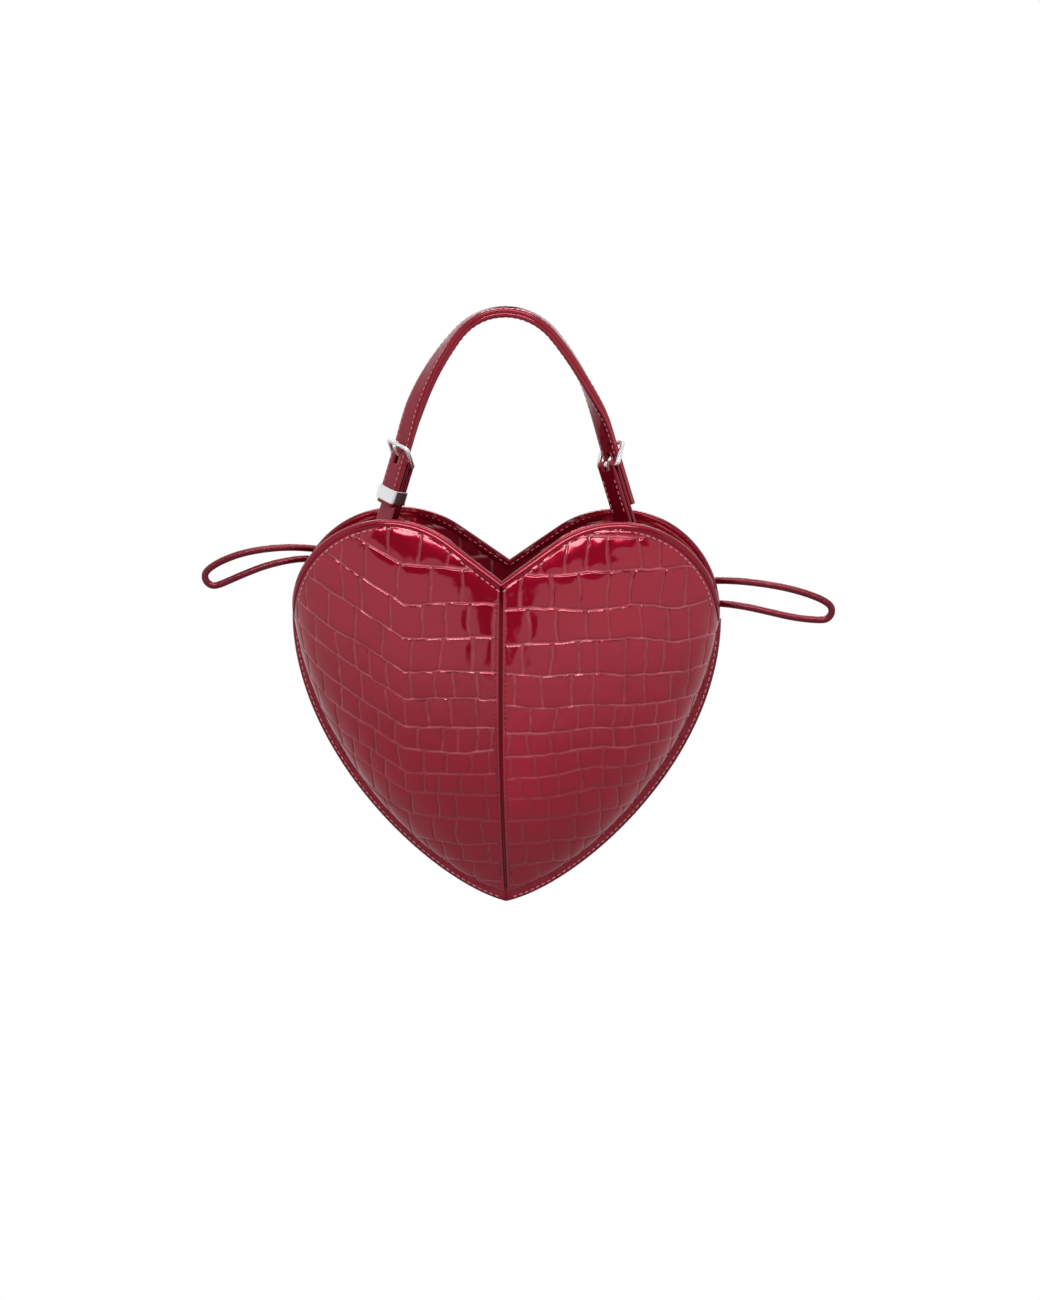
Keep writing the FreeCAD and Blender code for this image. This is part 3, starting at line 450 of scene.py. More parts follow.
def on_dome(side, face, x, z, inward=0.0):
    """Points and outward normals of the wall at places of the heart."""
    def at(a, b):
        return xyz(side * a, face * wall(face, a, b, inward), b)

    du = at(x + NORMAL_STEP, z) - at(x - NORMAL_STEP, z)
    dv = at(x, z + NORMAL_STEP) - at(x, z - NORMAL_STEP)
    normal = unit(np.cross(du, dv))
    normal *= np.where(normal[:, 1:2] * face < -SIDE_ON, -1, 1)
    return at(x, z), normal


def arc_length(theta, z, face):
    """Distance from the seam along the leather."""
    share = (np.arange(ARC_PARTS) + 0.5) / ARC_PARTS
    w, d = dome_width(z)[..., None], dome_depth(z, face)[..., None]
    t = theta[..., None] * share
    return theta * np.mean(np.hypot(w * np.cos(t), d * np.sin(t)), -1)


# Emboss: its rows follow r up the heart, and the scales of a row follow s away from the seam

ROWS_FROM, ROWS_TO = 230.0, -60
ROW_HEIGHTS, ROW_CHANCE = ((30, 70, 110, 150), (12.5, 11.5, 13.5, 15.5)), (0.86, 1.16)
SCALE_WIDTHS, SCALE_CHANCE = ((40, 110), (0.90, 0.76)), (0.72, 1.32)
SCALES_FROM, SCALES_IN_ROW, SCALE_LEAN, CORNER = -30, 70, 0.07, 1.6
GROOVE_HALF, SWELL_REACH = 0.75, (0.2, 4.5)
# Painted highlights on the groove lines: strength and reach, more higher up and near the seam
HIGHLIGHT_ROW, ROW_REACH, HIGHLIGHT_CUT, CUT_REACH = 0.95, (0.05, 0.7), 0.32, (0.1, 0.75)
HIGHLIGHT_LOW, HIGHLIGHT_MORE, HIGHLIGHT_SEAM, HIGHLIGHT_WIDTH = 0.16, (0.80, 52, 100), 0.45, 38
DARK_ROW, DARK_START, DARK_END, DARK_SPAN = 0.85, (0.30, 0.65), (0.8, 1.6), (50, 110)
BORDER, BORDER_REACH = 0.22, (0.6, 2.6)


def scale_gaps(s, r, seed):
    """Distances to the nearest row line, to the nearest cut and to the line above."""
    rng = np.random.default_rng(seed)
    edges = [ROWS_FROM]
    while edges[-1] > ROWS_TO:
        edges.append(edges[-1] - np.interp(edges[-1], *ROW_HEIGHTS) * rng.uniform(*ROW_CHANCE))
    edges = np.array(edges[::-1])
    row = np.clip(np.searchsorted(edges, r) - 1, 0, len(edges) - 2)
    to_line = np.minimum(r - edges[row], edges[row + 1] - r)
    to_cut = np.zeros(s.shape)
    for k in range(len(edges) - 1):
        width = (edges[k + 1] - edges[k]) * np.interp(edges[k], *SCALE_WIDTHS)
        start = SCALES_FROM - rng.uniform(0, width)
        cuts = np.cumsum(np.r_[start, width * rng.uniform(*SCALE_CHANCE, SCALES_IN_ROW)])
        lean = rng.uniform(-SCALE_LEAN, SCALE_LEAN)
        here = row == k
        t = s[here] + lean * (r[here] - edges[k])
        c = np.clip(np.searchsorted(cuts, t) - 1, 0, len(cuts) - 2)
        to_cut[here] = np.minimum(t - cuts[c], cuts[c + 1] - t)
    return np.maximum(to_line, 0), np.maximum(to_cut, 0), edges[row + 1] - r


def croc(s, r, seed):
    """Scales of the emboss: grooves, swell, painted highlight lines and painted shade along lines and scale
    borders.
    """
    def patches(amount, wide, high, turn):
        return amount * noise_at(s / wide, r / high, seed + turn)

    s = s + patches(1.1, 13, 13, 1) + patches(0.35, 3.5, 3.5, 2)
    r = r + patches(1.6, 21, 17, 3) + patches(0.35, 4, 4, 4)
    to_line, to_cut, below = scale_gaps(s, r, seed)
    near = -np.log(np.exp(-CORNER * to_line) + np.exp(-CORNER * to_cut)) / CORNER
    groove = (1 - smooth(near, 0.0, GROOVE_HALF)) * (0.85 + patches(0.25, 4, 4, 5))
    # Painted highlight along the row lines and, fainter, along the cuts
    highlight = np.maximum(HIGHLIGHT_ROW * (1 - smooth(to_line, *ROW_REACH)),
                      HIGHLIGHT_CUT * (1 - smooth(to_cut, *CUT_REACH)))
    highlight *= (0.62 + patches(0.38, 6, 3, 6)) * (HIGHLIGHT_LOW + ramp(r, *HIGHLIGHT_MORE))
    highlight *= 1 + HIGHLIGHT_SEAM * bell(s, HIGHLIGHT_WIDTH)
    # Painted shade: a dark line just below each row line and darker scale borders
    dark = DARK_ROW * smooth(below, *DARK_START) * (1 - smooth(below, *DARK_END))
    dark *= (0.55 + patches(0.45, 7, 3, 8)) * smooth(r, *DARK_SPAN)
    border = BORDER * (1 - smooth(near, *BORDER_REACH)) * (0.6 + patches(0.4, 5, 5, 11))
    return groove, smooth(near, *SWELL_REACH), highlight, np.maximum(dark, border)


# Skins and facings

SKIN_GRID, FACING_GRID = {-1: (340, 420), 1: (200, 250)}, (170, 220)
SKIN_LOW, FACING_LOW, FACING_BEYOND = TIP + 1.2, 10.0, 1.0
SKIN_SEED, FACING_SEED = 51, 60
CHEVRON_SLOPE, CHEVRON_FROM = 0.52, 46
DROOP, DROOP_LOW, DROOP_HIGH = 0.10, 60, 120
PLAIN_RIM, PLAIN_SEAM = (1.7, 2.8), (1.2, 2.4)
SWELL, SWELL_MORE, GROOVE_DEPTH = 0.05, (0.09, 8, 22), 0.42
SEAM_DEPTH, SEAM_HALF, SHADE_HALF = 1.3, 0.9, 0.6
BROAD_BUMP, BROAD_SIZE, SMALL_BUMP, SMALL_SIZE = 0.14, 15, 0.05, 5
# Where the painted light falls on the front
LIGHT_HEIGHT, LIGHT_BAND, LIGHT_SHARE = 70, 28, 0.28
LIGHT_SEAM, LIGHT_WIDTH, LIGHT_ABOVE = 0.62, 24, (0.17, 70, 100)


def row_heights(side, s, z):
    """Height that a row of the emboss has at the seam: a chevron at left, a droop at right."""
    if side < 0:
        return z - CHEVRON_SLOPE * np.maximum(0, s - CHEVRON_FROM)
    return z - DROOP * s * smooth(-z, -DROOP_HIGH, -DROOP_LOW)


def painted_front_light(side, s, z):
    """Painted light: redder dye low on the front and on its right half, where light falls."""
    right = float(side > 0)
    painted_light = bell(z - LIGHT_HEIGHT, LIGHT_BAND) * (LIGHT_SHARE + LIGHT_SEAM * right * bell(s, LIGHT_WIDTH))
    return painted_light + right * ramp(z, *LIGHT_ABOVE)


def relief(groove, swell, s):
    """Height of the embossed leather."""
    return swell * (SWELL + ramp(s, *SWELL_MORE)) - GROOVE_DEPTH * groove


def panel(side, face, grid, low, inward=0.0, beyond=0.0):
    """Plain surface of one quarter: points, normals, distance from the seam and height."""
    nu, nv = grid
    line = np.linspace(0, math.pi / 2, nu)
    theta = line[:, None] * np.ones(nv)
    z = low + (rim_on_line(line, beyond)[:, None] - low) * np.linspace(0, 1, nv)
    base = dome(side, face, theta, z, inward)
    normal = unit(np.cross(np.gradient(base, axis=0), np.gradient(base, axis=1)))
    normal *= np.sign(normal[nu // 3, nv // 2, 1] * face)
    return base, normal, arc_length(theta, z, face), z


def make_skin(name, side, face):
    """Embossed leather of one quarter, drawn in at the seam."""
    seed = SKIN_SEED + 5 * side + 20 * face
    base, normal, s, z = panel(side, face, SKIN_GRID[face], SKIN_LOW)
    groove, swell, highlight, dark = croc(s, row_heights(side, s, z), seed)
    keep = smooth(rim_gap(base[..., 0], z), *PLAIN_RIM) * smooth(s, *PLAIN_SEAM)
    height = relief(groove * keep, swell * keep, s) - SEAM_DEPTH * bell(s, SEAM_HALF)
    height += (BROAD_BUMP * noise_at(s / BROAD_SIZE, z / BROAD_SIZE, seed + 9)
               + SMALL_BUMP * noise_at(s / SMALL_SIZE, z / SMALL_SIZE, seed + 10)) * keep
    points = base + normal * height[..., None]
    # Painted highlights on the groove lines, and painted shade at the seam and below the row lines
    paint = {"groove": highlight * keep, "shade": np.maximum(bell(s, SHADE_HALF), dark * keep)}
    if face < 0:
        # Painted light on the front skins
        paint["painted_light"] = painted_front_light(side, s, z)
    return make(name, points, grid_faces(*SKIN_GRID[face], flip=side * face > 0), CROC, **paint)


def make_facing(name, side, face):
    """Embossed leather on the inside of one quarter, with painted highlights on its groove lines."""
    base, normal, s, z = panel(side, face, FACING_GRID, FACING_LOW, FACING_INSET, FACING_BEYOND)
    groove, swell, highlight, _ = croc(s, row_heights(side, s, z), FACING_SEED + side + face * 3)
    keep = smooth(s, *PLAIN_SEAM)
    points = base - normal * relief(groove * keep, swell * keep, s)[..., None]
    return make(name, points, grid_faces(*FACING_GRID, flip=side * face < 0), PAINTED_LIGHT_FACING, groove=highlight * keep)


# Bound rims and their thread

RIM_STEPS, RIM_END = 260, math.pi / 2 - 0.02
RIM_PROFILE = ((0.10, -1.9), (0.42, -1.6), (0.52, -0.9), (0.50, 0.0), (0.35, 0.9),
               (-0.2, 1.55), (-1.0, 1.85), (-2.2, 1.85), (-3.0, 1.55), (-3.55, 0.9),
               (-3.7, 0.0), (-3.7, -1.2), (-3.6, -2.2), (-3.2, -2.6))
# Edge paint across each rim's section; the back's darker crest and inner side are partly painted shade
# inside the mouth
RIM_PAINT_AND_SHADE = {-1: (0.5, 0.5, 0.5, 0.5, 0.5, 0.45, 0.4, 0.35, 0.35, 0.3, 0.2, 0, 0, 0),
             1: (0.25, 0.25, 0.25, 0.25, 0.35, 0.5, 0.75, 0.85, 0.85, 0.7, 0.2, 0, 0, 0)}
OUTER_DROP, INNER_DROP = 2.7, 0.8
ROW_START, ROW_END = 0.4, 0.12
SEAM_ROW_X, SEAM_ROW_LOW, SEAM_ROW_HIGH = 2.3, TIP + 9, CLEFT - 5


def make_binding(name, side, face):
    """Rolled leather over the rim, with a painted crest; on the back the darker crest and inner side are
    partly painted shade.
    """
    theta = np.linspace(0.0, RIM_END, RIM_STEPS)
    z = rim_on_line(theta)
    x = dome_width(z) * np.sin(theta)
    path, normal = on_dome(side, face, x, z)
    up = unit(np.cross(normal, unit(np.gradient(path, axis=0))))
    up *= np.sign(up[RIM_STEPS // 4, 2])
    section = np.array(RIM_PROFILE)
    rings = path[:, None] + normal[:, None] * section[:, :1] + up[:, None] * section[:, 1:]
    faces = grid_faces(len(path), len(section), flip=side * face < 0)
    return make(name, rings, faces, SMOOTH, edge=RIM_PAINT_AND_SHADE[face])


def rim_row(side, face, drop, inward=0.0):
    """A stitch row a little below the rim."""
    radius = LOBE - drop
    line_x = np.linspace(ROW_START, SPREAD - radius * math.sin(SLOPE), num=30)
    line_z = CLEFT - drop / math.cos(SLOPE) + line_x * math.tan(SLOPE)
    angle = np.linspace(math.pi / 2 + SLOPE, ROW_END, num=120)[1:]
    x = np.r_[line_x, SPREAD + radius * np.cos(angle)]
    z = np.r_[line_z, WIDEST + radius * np.sin(angle)]
    points, normals = on_dome(side, face, x, z, inward)
    return points, (normals if inward == 0 else -normals)


def make_face(face, face_name):
    """Skins, facings, bound rims and thread of the front or the back."""
    thread, seam = [], []
    for side, side_name in SIDES:
        tag = f"{face_name}_{side_name}"
        nodes = [f"{face_name}_panel_{side_name}", f"{face_name}_stiffener_{side_name}"]
        if side > 0:
            nodes.append(f"{face_name}_seam_tape")
        dress(make_skin(f"{tag}_skin", side, face), "bag", "croc_leather", *nodes)
        nodes = [f"{face_name}_lining_{side_name}"]
        if face > 0 and side > 0:
            nodes.append("snap_washers")
        dress(make_facing(f"{tag}_facing", side, face), "bag", "croc_leather", *nodes)
        roll = make_binding(f"{tag}_rim", side, face)
        dress(roll, "bag", "smooth_leather", f"{face_name}_binding_{side_name}")
        thread.append(rim_row(side, face, OUTER_DROP))
        thread.append(rim_row(side, face, INNER_DROP, FACING_INSET))
        z = np.linspace(SEAM_ROW_LOW, SEAM_ROW_HIGH, num=120)
        seam.append(on_dome(side, face, np.full(z.shape, SEAM_ROW_X), z))
    stitches(f"{face_name}_thread", thread, "bag")
    stitches(f"{face_name}_seam_thread", seam, "bag", pitch=2.6, length=1.7, thread=SEAM_THREAD)


# Welt

WELT_SHARES = ((0, 0), (0.340, 0.060), (1.0, 0.502), (1, 1))
WELT_STEPS, WELT_LIP, WELT_OVERLAP, WELT_START = 420, 1, 3, 8.5
WELT_ACROSS = np.r_[np.linspace(0, 0.84, 9), 0.90, 0.95, 0.985, 1.0]
WELT_HALF, WELT_BULGE, BULGE_END = 1.62, 0.30, 0.9
WELT_ROUND, WELT_PAINT, WELT_EDGE, TIP_LINE = (1.1, 0.88, 1.02), 0.38, (0.62, 0.86, 0.95), 0.45
WRINKLE, WRINKLE_LONG, WRINKLE_WIDE, WRINKLE_FINE = 0.16, 4, 3, 0.9
WRINKLE_SEED, FINE_SEED, WRINKLE_FADE = 150, 160, (0.05, 0.3)
ROW_INSET, ROW_SHARE, ROW_OUT = 1.7, 0.4, 1.85
ROW_SKIP_LOW, ROW_SKIP_HIGH = 12, 14


def welt_lines(side):
    """Outer edge and hidden inner edge of the flange on one side."""
    t = np.linspace(0, 1, WELT_STEPS)
    x, z = bezier(WELT_SHARES, t)
    outer = xyz(side * x * (DOME_WIDTH + WELT_LIP), 0, z * WIDEST)
    x, z = bezier(DOME_SHARES, t)
    inner = xyz(side * x * (DOME_WIDTH - WELT_OVERLAP), 0, WELT_START + z * (WIDEST - WELT_START))
    return outer, inner


def make_welt():
    """Sewn flange of the lower V: soft faces, a painted edge and thread near it."""
    across = WELT_ACROSS
    bulge = WELT_HALF + WELT_BULGE * np.sin(math.pi * np.clip(across / BULGE_END, 0, 1))
    bulge -= ramp(across, *WELT_ROUND)
    paint = WELT_PAINT + ramp(across, *WELT_EDGE)
    order = range(len(across))
    verts, faces, edge, thread = [], [], [], []
    for side in (1, -1):
        outer, inner = welt_lines(side)
        span = np.linalg.norm(outer - inner, axis=1)
        way = ways_along(outer)
        base = len(verts)
        for face, j in [(-1, j) for j in order] + [(1, j) for j in reversed(order)]:
            reach = across[j] * span
            rough = WRINKLE * noise_at(way / WRINKLE_LONG, reach / WRINKLE_WIDE, WRINKLE_SEED + side + face)
            rough += WRINKLE * noise_at(way / WRINKLE_FINE, reach / WRINKLE_FINE, FINE_SEED + side + face)
            y = face * (bulge[j] + rough * smooth(1 - across[j], *WRINKLE_FADE))
            verts.extend(inner + (outer - inner) * across[j] + xyz(0, y, 0))
            edge.extend(np.maximum(paint[j], bell(outer[:, 0], TIP_LINE)))
        rings = 2 * len(across)
        faces += (grid_faces(rings, WELT_STEPS, flip=side > 0) + base).tolist()
        faces.append([base + (j + 1) * WELT_STEPS - 1 for j in range(rings)])
        row = outer + (inner - outer) * np.minimum(ROW_INSET / span, ROW_SHARE)[:, None]
        row = row[ROW_SKIP_LOW:-ROW_SKIP_HIGH]
        for face, _ in FACES:
            normals = np.tile([0.0, face, 0.0], (len(row), 1))
            thread.append((row + normals * ROW_OUT, normals))
    obj = make("seam_welt_skin", verts, faces, SMOOTH, edge=edge)
    dress(obj, "bag", "smooth_leather", "seam_welt")
    stitches("welt_thread", thread, "bag")


# Gussets

GUSSET_GRID, GUSSET_ANGLE, GUSSET_SEED = (90, 40), 103, 90


def make_gusset(side, name):
    """Sunk strip between the walls on the outer lobe."""
    angle = np.radians(np.linspace(0, GUSSET_ANGLE, GUSSET_GRID[0]))
    share = np.linspace(-1, 1, GUSSET_GRID[1])
    x, z = SPREAD + GUSSET * np.cos(angle), WIDEST + GUSSET * np.sin(angle)
    front, back = wall(-1, x, z, WALL), wall(1, x, z, WALL)
    y = np.where(share < 0, share * front[:, None], share * back[:, None])
    dip = GUSSET_DIP * (1 - share ** 2)
    c, s = np.cos(angle)[:, None], np.sin(angle)[:, None]
    upper = xyz(side * (x[:, None] - dip * c), y, z[:, None] - dip * s)
    lower = upper - xyz(side * c, 0, s) * GUSSET_THICK
    # Painted highlights of the emboss on the gusset's groove lines, which have no relief here
    _, _, highlight, _ = croc((angle * GUSSET)[:, None] + 0 * y, GUSSET_SEED + y, GUSSET_SEED + side)
    points = np.r_[upper.reshape(-1, 3), lower.reshape(-1, 3)]
    faces = np.r_[grid_faces(*GUSSET_GRID, flip=side > 0),
                  grid_faces(*GUSSET_GRID, flip=side < 0) + highlight.size]
    obj = make(f"gusset_{name}_skin", points, faces, CROC, groove=highlight)
    dress(obj, "bag", "croc_leather", f"gusset_{name}")


def gusset_top(points):
    """Height of the sunk gusset under each point."""
    x, y = np.abs(points[:, 0]), points[:, 1]
    crest = WIDEST + GUSSET
    reach = np.where(y < 0, wall(-1, x, crest, WALL), wall(1, x, crest, WALL))
    radius = GUSSET - GUSSET_DIP * (1 - np.clip(np.abs(y) / reach, 0, 1) ** 2)
    return WIDEST + np.sqrt(np.maximum(radius ** 2 - (x - SPREAD) ** 2, 0))


# Strap

UP = np.array([math.sin(LEAN), 0, math.cos(LEAN)])
FRONT = np.array([0, -1, 0])
OUT = np.array([-math.cos(LEAN), 0, math.sin(LEAN)]) * math.cos(TWIST) + FRONT * math.sin(TWIST)
ALONG = np.cross(OUT, UP)
HALF_TURN = np.array([-1, -1, 1])
ACROSS, OUTWARD = np.array([[1.0, 0, 0]]), np.array([[0, 1.0, 0]])
LEFT_FOOT = np.array([-FOOT_X, 0, AXIS])
ARCH_SHARE, LEG_SHARE = 0.9, 0.9
TAIL_START, SWELL_SHARE, STRAP_STEPS = BAR + 2, 0.2, 360
STRAP_POWER, STRAP_SIDES, JOINT_GAP, JOINT_DEPTH = 5, 52, 0.05, 0.25
PEBBLE_SIZE, PEBBLE_SHIFT, PEBBLE_SEED, STRAP_CROWN, PEBBLE = 3.2, 9, 71, 0.10, 0.7
FACE_PAINT, RIDGE_PAINT, BARE_EDGE = 0.52, (0.20, 4.6, 5.0), (0.72, 5.15, 5.4)
JOINT_PAINT, JOINT_HALF = 0.9, 0.01
HANDLE_ROW, STRAP_ROW_SKIP = 4.0, 6


def leg(points, right=False):
    """From the frame of a leg (along the bar, outward, up) to the purse."""
    place = LEFT_FOOT + points[:, :1] * ALONG + points[:, 1:2] * OUT + points[:, 2:] * UP
    return place * HALF_TURN if right else place


def half_arch():
    """Stations (x, z, share of the arch) from the apex to the tail of the right leg."""
    inward = STRAP_OFFSET * math.cos(TWIST)

    def on_leg(rise):
        return (FOOT_X + inward * math.cos(LEAN) - rise * math.sin(LEAN),
                AXIS + inward * math.sin(LEAN) + rise * math.cos(LEAN))

    shoulder_rise = (SHOULDER_RISE - inward * math.sin(LEAN)) / math.cos(LEAN)
    shoulder = on_leg(shoulder_rise)
    centre = AXIS + APEX_RISE - CROWN
    end = (CROWN * math.sin(CROWN_HALF), centre + CROWN * math.cos(CROWN_HALF))
    drop, spread = end[1] - shoulder[1], shoulder[0] - end[0]
    bend = math.atan2(drop, spread) - CROWN_HALF
    side = math.hypot(drop, spread) / 2 / math.sin(bend)
    crown_way = CROWN * CROWN_HALF
    total = crown_way + side * 2 * bend
    stations = []
    for way in np.linspace(0, total * ARCH_SHARE, num=17):
        if way <= crown_way:
            turn = way / CROWN
            spot = (CROWN * math.sin(turn), centre + CROWN * math.cos(turn))
        else:
            turn = CROWN_HALF + (way - crown_way) / side
            spot = (end[0] + side * (math.sin(turn) - math.sin(CROWN_HALF)),
                    end[1] + side * (math.cos(turn) - math.cos(CROWN_HALF)))
        stations.append((*spot, way / total))
    for rise in (shoulder_rise * LEG_SHARE, *np.linspace(TAIL_START, TAIL_RISE, num=4)):
        stations.append((*on_leg(rise), 1.0))
    return stations


def strap_path():
    """Centres, directions across and out, and thickness along the strap."""
    half = half_arch()
    rows = []
    for mirror in (-1, 1):
        for x, z, share in (half[::-1] if mirror < 0 else half[1:]):
            twist = -mirror * TWIST * math.sin(math.pi / 2 * share ** TWIST_POWERS[mirror]) ** 2
            swell = math.sin(math.pi / 2 * min(1, (1 - share) / SWELL_SHARE)) ** 2
            thick = LEG_THICK + (ARCH_THICK - LEG_THICK) * swell
            rows.append((mirror * x, -STRAP_OFFSET * math.sin(twist), z, twist, thick))
    rows = np.array(rows)
    ways = ways_along(rows[:, :3])
    slopes = np.gradient(rows, ways, axis=0)
    dense = np.linspace(0, ways[-1], STRAP_STEPS)
    k = np.clip(np.searchsorted(ways, dense) - 1, 0, len(ways) - 2)
    h = (ways[k + 1] - ways[k])[:, None]
    t = (dense - ways[k])[:, None] / h
    fine = ((2 * t ** 3 - 3 * t ** 2 + 1) * rows[k] + (t ** 3 - 2 * t ** 2 + t) * h * slopes[k]
            + (3 * t ** 2 - 2 * t ** 3) * rows[k + 1] + (t ** 3 - t ** 2) * h * slopes[k + 1])
    path, twist, thick = fine[:, :3], fine[:, 3:4], fine[:, 4]
    tangent = np.gradient(path, axis=0)
    tangent[:, 1] = 0
    tangent = unit(tangent)
    flat = xyz(-tangent[:, 2], 0, tangent[:, 0])
    out = flat * np.cos(twist) + FRONT * np.sin(twist)
    return path, unit(np.cross(out, tangent)), out, thick


def strap_section():
    """Two layers with a fine joint at each edge and columns beside the prong slot."""
    half_turn = STRAP_SIDES // 2
    top = rounded(STRAP, 1, STRAP_POWER, STRAP_SIDES)[1:half_turn]
    middle = len(top) // 2
    top = np.r_[top[:middle], [(PRONG_SLOT, 0.5), (-PRONG_SLOT, 0.5)], top[middle + 1:]]
    edge = STRAP / 2
    joint = np.array([(edge, -JOINT_GAP), (edge - JOINT_DEPTH, 0.0), (edge, JOINT_GAP)])
    return np.r_[joint, top, -joint, -top]


def make_strap():
    """Strap of the handle, slotted for the prongs, and its thread."""
    path, across, out, thick = strap_path()
    section = strap_section()
    sections = sections_of(section, thick)
    width = section[None, :, 0] / PEBBLE_SIZE + PEBBLE_SHIFT * np.sign(section[None, :, 1])
    pebble = noise_at(ways_along(path)[:, None] / PEBBLE_SIZE, width, PEBBLE_SEED)
    crown = STRAP_CROWN * (1 - (sections[..., 0] / (STRAP / 2)) ** 2)
    sections[..., 1] *= 1 + crown * (1 + PEBBLE * pebble)
    points, faces = sweep(path, across, out, sections)
    walls = 0
    for right in (False, True):
        on_leg = path * HALF_TURN if right else path
        rise = (on_leg - LEFT_FOOT) @ UP
        inside = np.flatnonzero((rise > SLOT_LOW) & (rise < SLOT_HIGH) & (on_leg[:, 0] < 0))
        faces, more = cut_slot(faces, section, PRONG_SLOT, inside[0], inside[-1])
        walls += more
    reach = np.abs(section[:, 0])
    edge = FACE_PAINT + ramp(reach, *RIDGE_PAINT) - ramp(reach, *BARE_EDGE)
    edge[np.abs(section[:, 1]) < JOINT_HALF] = JOINT_PAINT
    obj = make("handle_strap", points, faces, SMOOTH, edge=edge)
    flatten_last(obj, walls)
    dress(obj, "handle", "smooth_leather", "handle_strap_outer", "handle_strap_lining")
    rows, skip = [], STRAP_ROW_SKIP
    for side in (-1, 1):
        for face in (-1, 1):
            line = path + across * side * HANDLE_ROW + out * (face * thick / 2)[:, None]
            rows.append((line[skip:-skip], (out * face)[skip:-skip]))
    stitches("strap_thread", rows, "handle", pitch=2.8, length=2.0, thick=0.22)


# Tabs: half of the fold is given as (outward, rise, thickness) from the foot to the top of the bar

TAB_WIDTH, TAB_POWER, TAB_SIDES, TAB_STEPS, TAB_SOFT = 10.8, 7, 32, 220, 5
TAB_FOOT = ((8.6, -5.1, 1.3), (6.5, -5.0, 1.5), (4.4, -4.7, 1.7),
            (2.7, -3.9, 1.9), (1.6, -2.4, 2.0), (1.2, 0, 2.0))
SHAFT_OUT, SHAFT_THICK, SHAFT_LOW, SHAFT_HIGH = 1.15, 2.0, 3, 22
TAB_NECK = (1.35, 24.6, 1.6)
RING_RADIUS, RING_THICK, RING_START = 1.62, 1.2, -0.35
SEAT_RISE, SEAT_BLEND = 5.75, (0.5, 4.0)
TAB_PAINT, TAB_RIDGE = 0.42, (0.18, 5.05, 5.35)
TAB_ROW_OUT, TAB_ROW_LOW, TAB_ROW_HIGH = 2.18, 4, 22


def tab_fold():
    """Middle line and thickness of the leather from one foot over the bar to the other."""
    shaft = [(SHAFT_OUT, rise, SHAFT_THICK) for rise in np.linspace(SHAFT_LOW, SHAFT_HIGH, num=8)]
    ring = [(RING_RADIUS * math.cos(a), BAR + RING_RADIUS * math.sin(a), RING_THICK)
            for a in np.linspace(RING_START, math.pi / 2, num=9)]
    half = np.array([*TAB_FOOT, *shaft, TAB_NECK, *ring])
    profile = np.r_[half, (half * (-1, 1, 1))[-2::-1]]
    ways = ways_along(profile[:, :2])
    fine = at_way(profile, ways, np.linspace(0, ways[-1], TAB_STEPS))
    kernel = np.ones(TAB_SOFT) / TAB_SOFT
    inner = np.stack([np.convolve(values, kernel, "valid") for values in fine.T], -1)
    ends = TAB_SOFT // 2
    return np.r_[fine[:ends], inner, fine[-ends:]]


def tab_section():
    """Rounded strip with columns beside the slot for the prong's eye."""
    ring = rounded(TAB_WIDTH, 1, TAB_POWER, TAB_SIDES)
    top, bottom = TAB_SIDES // 4, 3 * TAB_SIDES // 4
    lips = np.array([(EYE_SLOT, 0.5), (-EYE_SLOT, 0.5)])
    return np.r_[ring[:top], lips, ring[top + 1:bottom], -lips, ring[bottom + 1:]]


def make_tab(right, name):
    """Folded leather tab: flaps on the gusset, up the leg, round the bar and down again."""
    fine, section = tab_fold(), tab_section()
    centres = xyz(0, fine[:, 0], fine[:, 1])
    along = unit(np.gradient(centres, axis=0))
    normal = xyz(0, along[:, 2], -along[:, 1])
    points, faces = sweep(centres, ACROSS, normal, sections_of(section, fine[:, 2]))
    folded = np.flatnonzero(fine[:, 1] > BAR - TAB)
    faces, walls = cut_slot(faces, section, EYE_SLOT, folded[0], folded[-1])
    rise = points[:, 2]
    points = leg(points, right)
    points[:, 2] += smooth(-rise, *SEAT_BLEND) * (gusset_top(points) + rise + SEAT_RISE - points[:, 2])
    edge = TAB_PAINT + ramp(np.abs(section[:, 0]), *TAB_RIDGE)
    obj = make(f"handle_tab_{name}_skin", points, faces, SMOOTH, edge=edge)
    flatten_last(obj, walls)
    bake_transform(obj)
    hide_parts(f"handle_tab_{name}", f"tab_foot_{name}")
    rows = []
    rise = np.linspace(TAB_ROW_LOW, TAB_ROW_HIGH, num=40)
    for side in (-1, 1):
        for face in (-1, 1):
            line = xyz(side * HANDLE_ROW, face * TAB_ROW_OUT, rise)
            flat = xyz(0 * rise, face, 0)
            rows.append((leg(line, right), leg(flat, right) - leg(0 * flat, right)))
    stitches(f"tab_{name}_thread", rows, "handle", pitch=2.8, length=2.0, thick=0.26)


# Buckles and keeper

PRONG_SIDES, EYE_SIDES = 16, 32
PRONG_RISE = np.array([-0.4, 0.6, 2, 4, 7, 9.5, 11.4, 12.0, 12.3])
PRONG_RADIUS = np.array([1.0, 1.0, 0.98, 0.95, 0.9, 0.86, 0.78, 0.55, 0.2])
PRONG_CURVE = np.array([0, 0, 0, 0.05, 0.1, 0.08, 0.0, -0.05, -0.08])
EYE_PROFILE = np.array([(-1.1, 1.0), (-1.1, 1.75), (-0.9, 1.92), (0.9, 1.92), (1.1, 1.75), (1.1, 1.0)])
KEEPER_RISE = 11.45


def tilted(points, angle):
    """From a frame on the pivot bar, tilted outward, to the frame of a leg."""
    c, s = math.cos(angle), math.sin(angle)
    x, y, z = points.T
    return xyz(x, y * c + z * s, BAR - y * s + z * c)


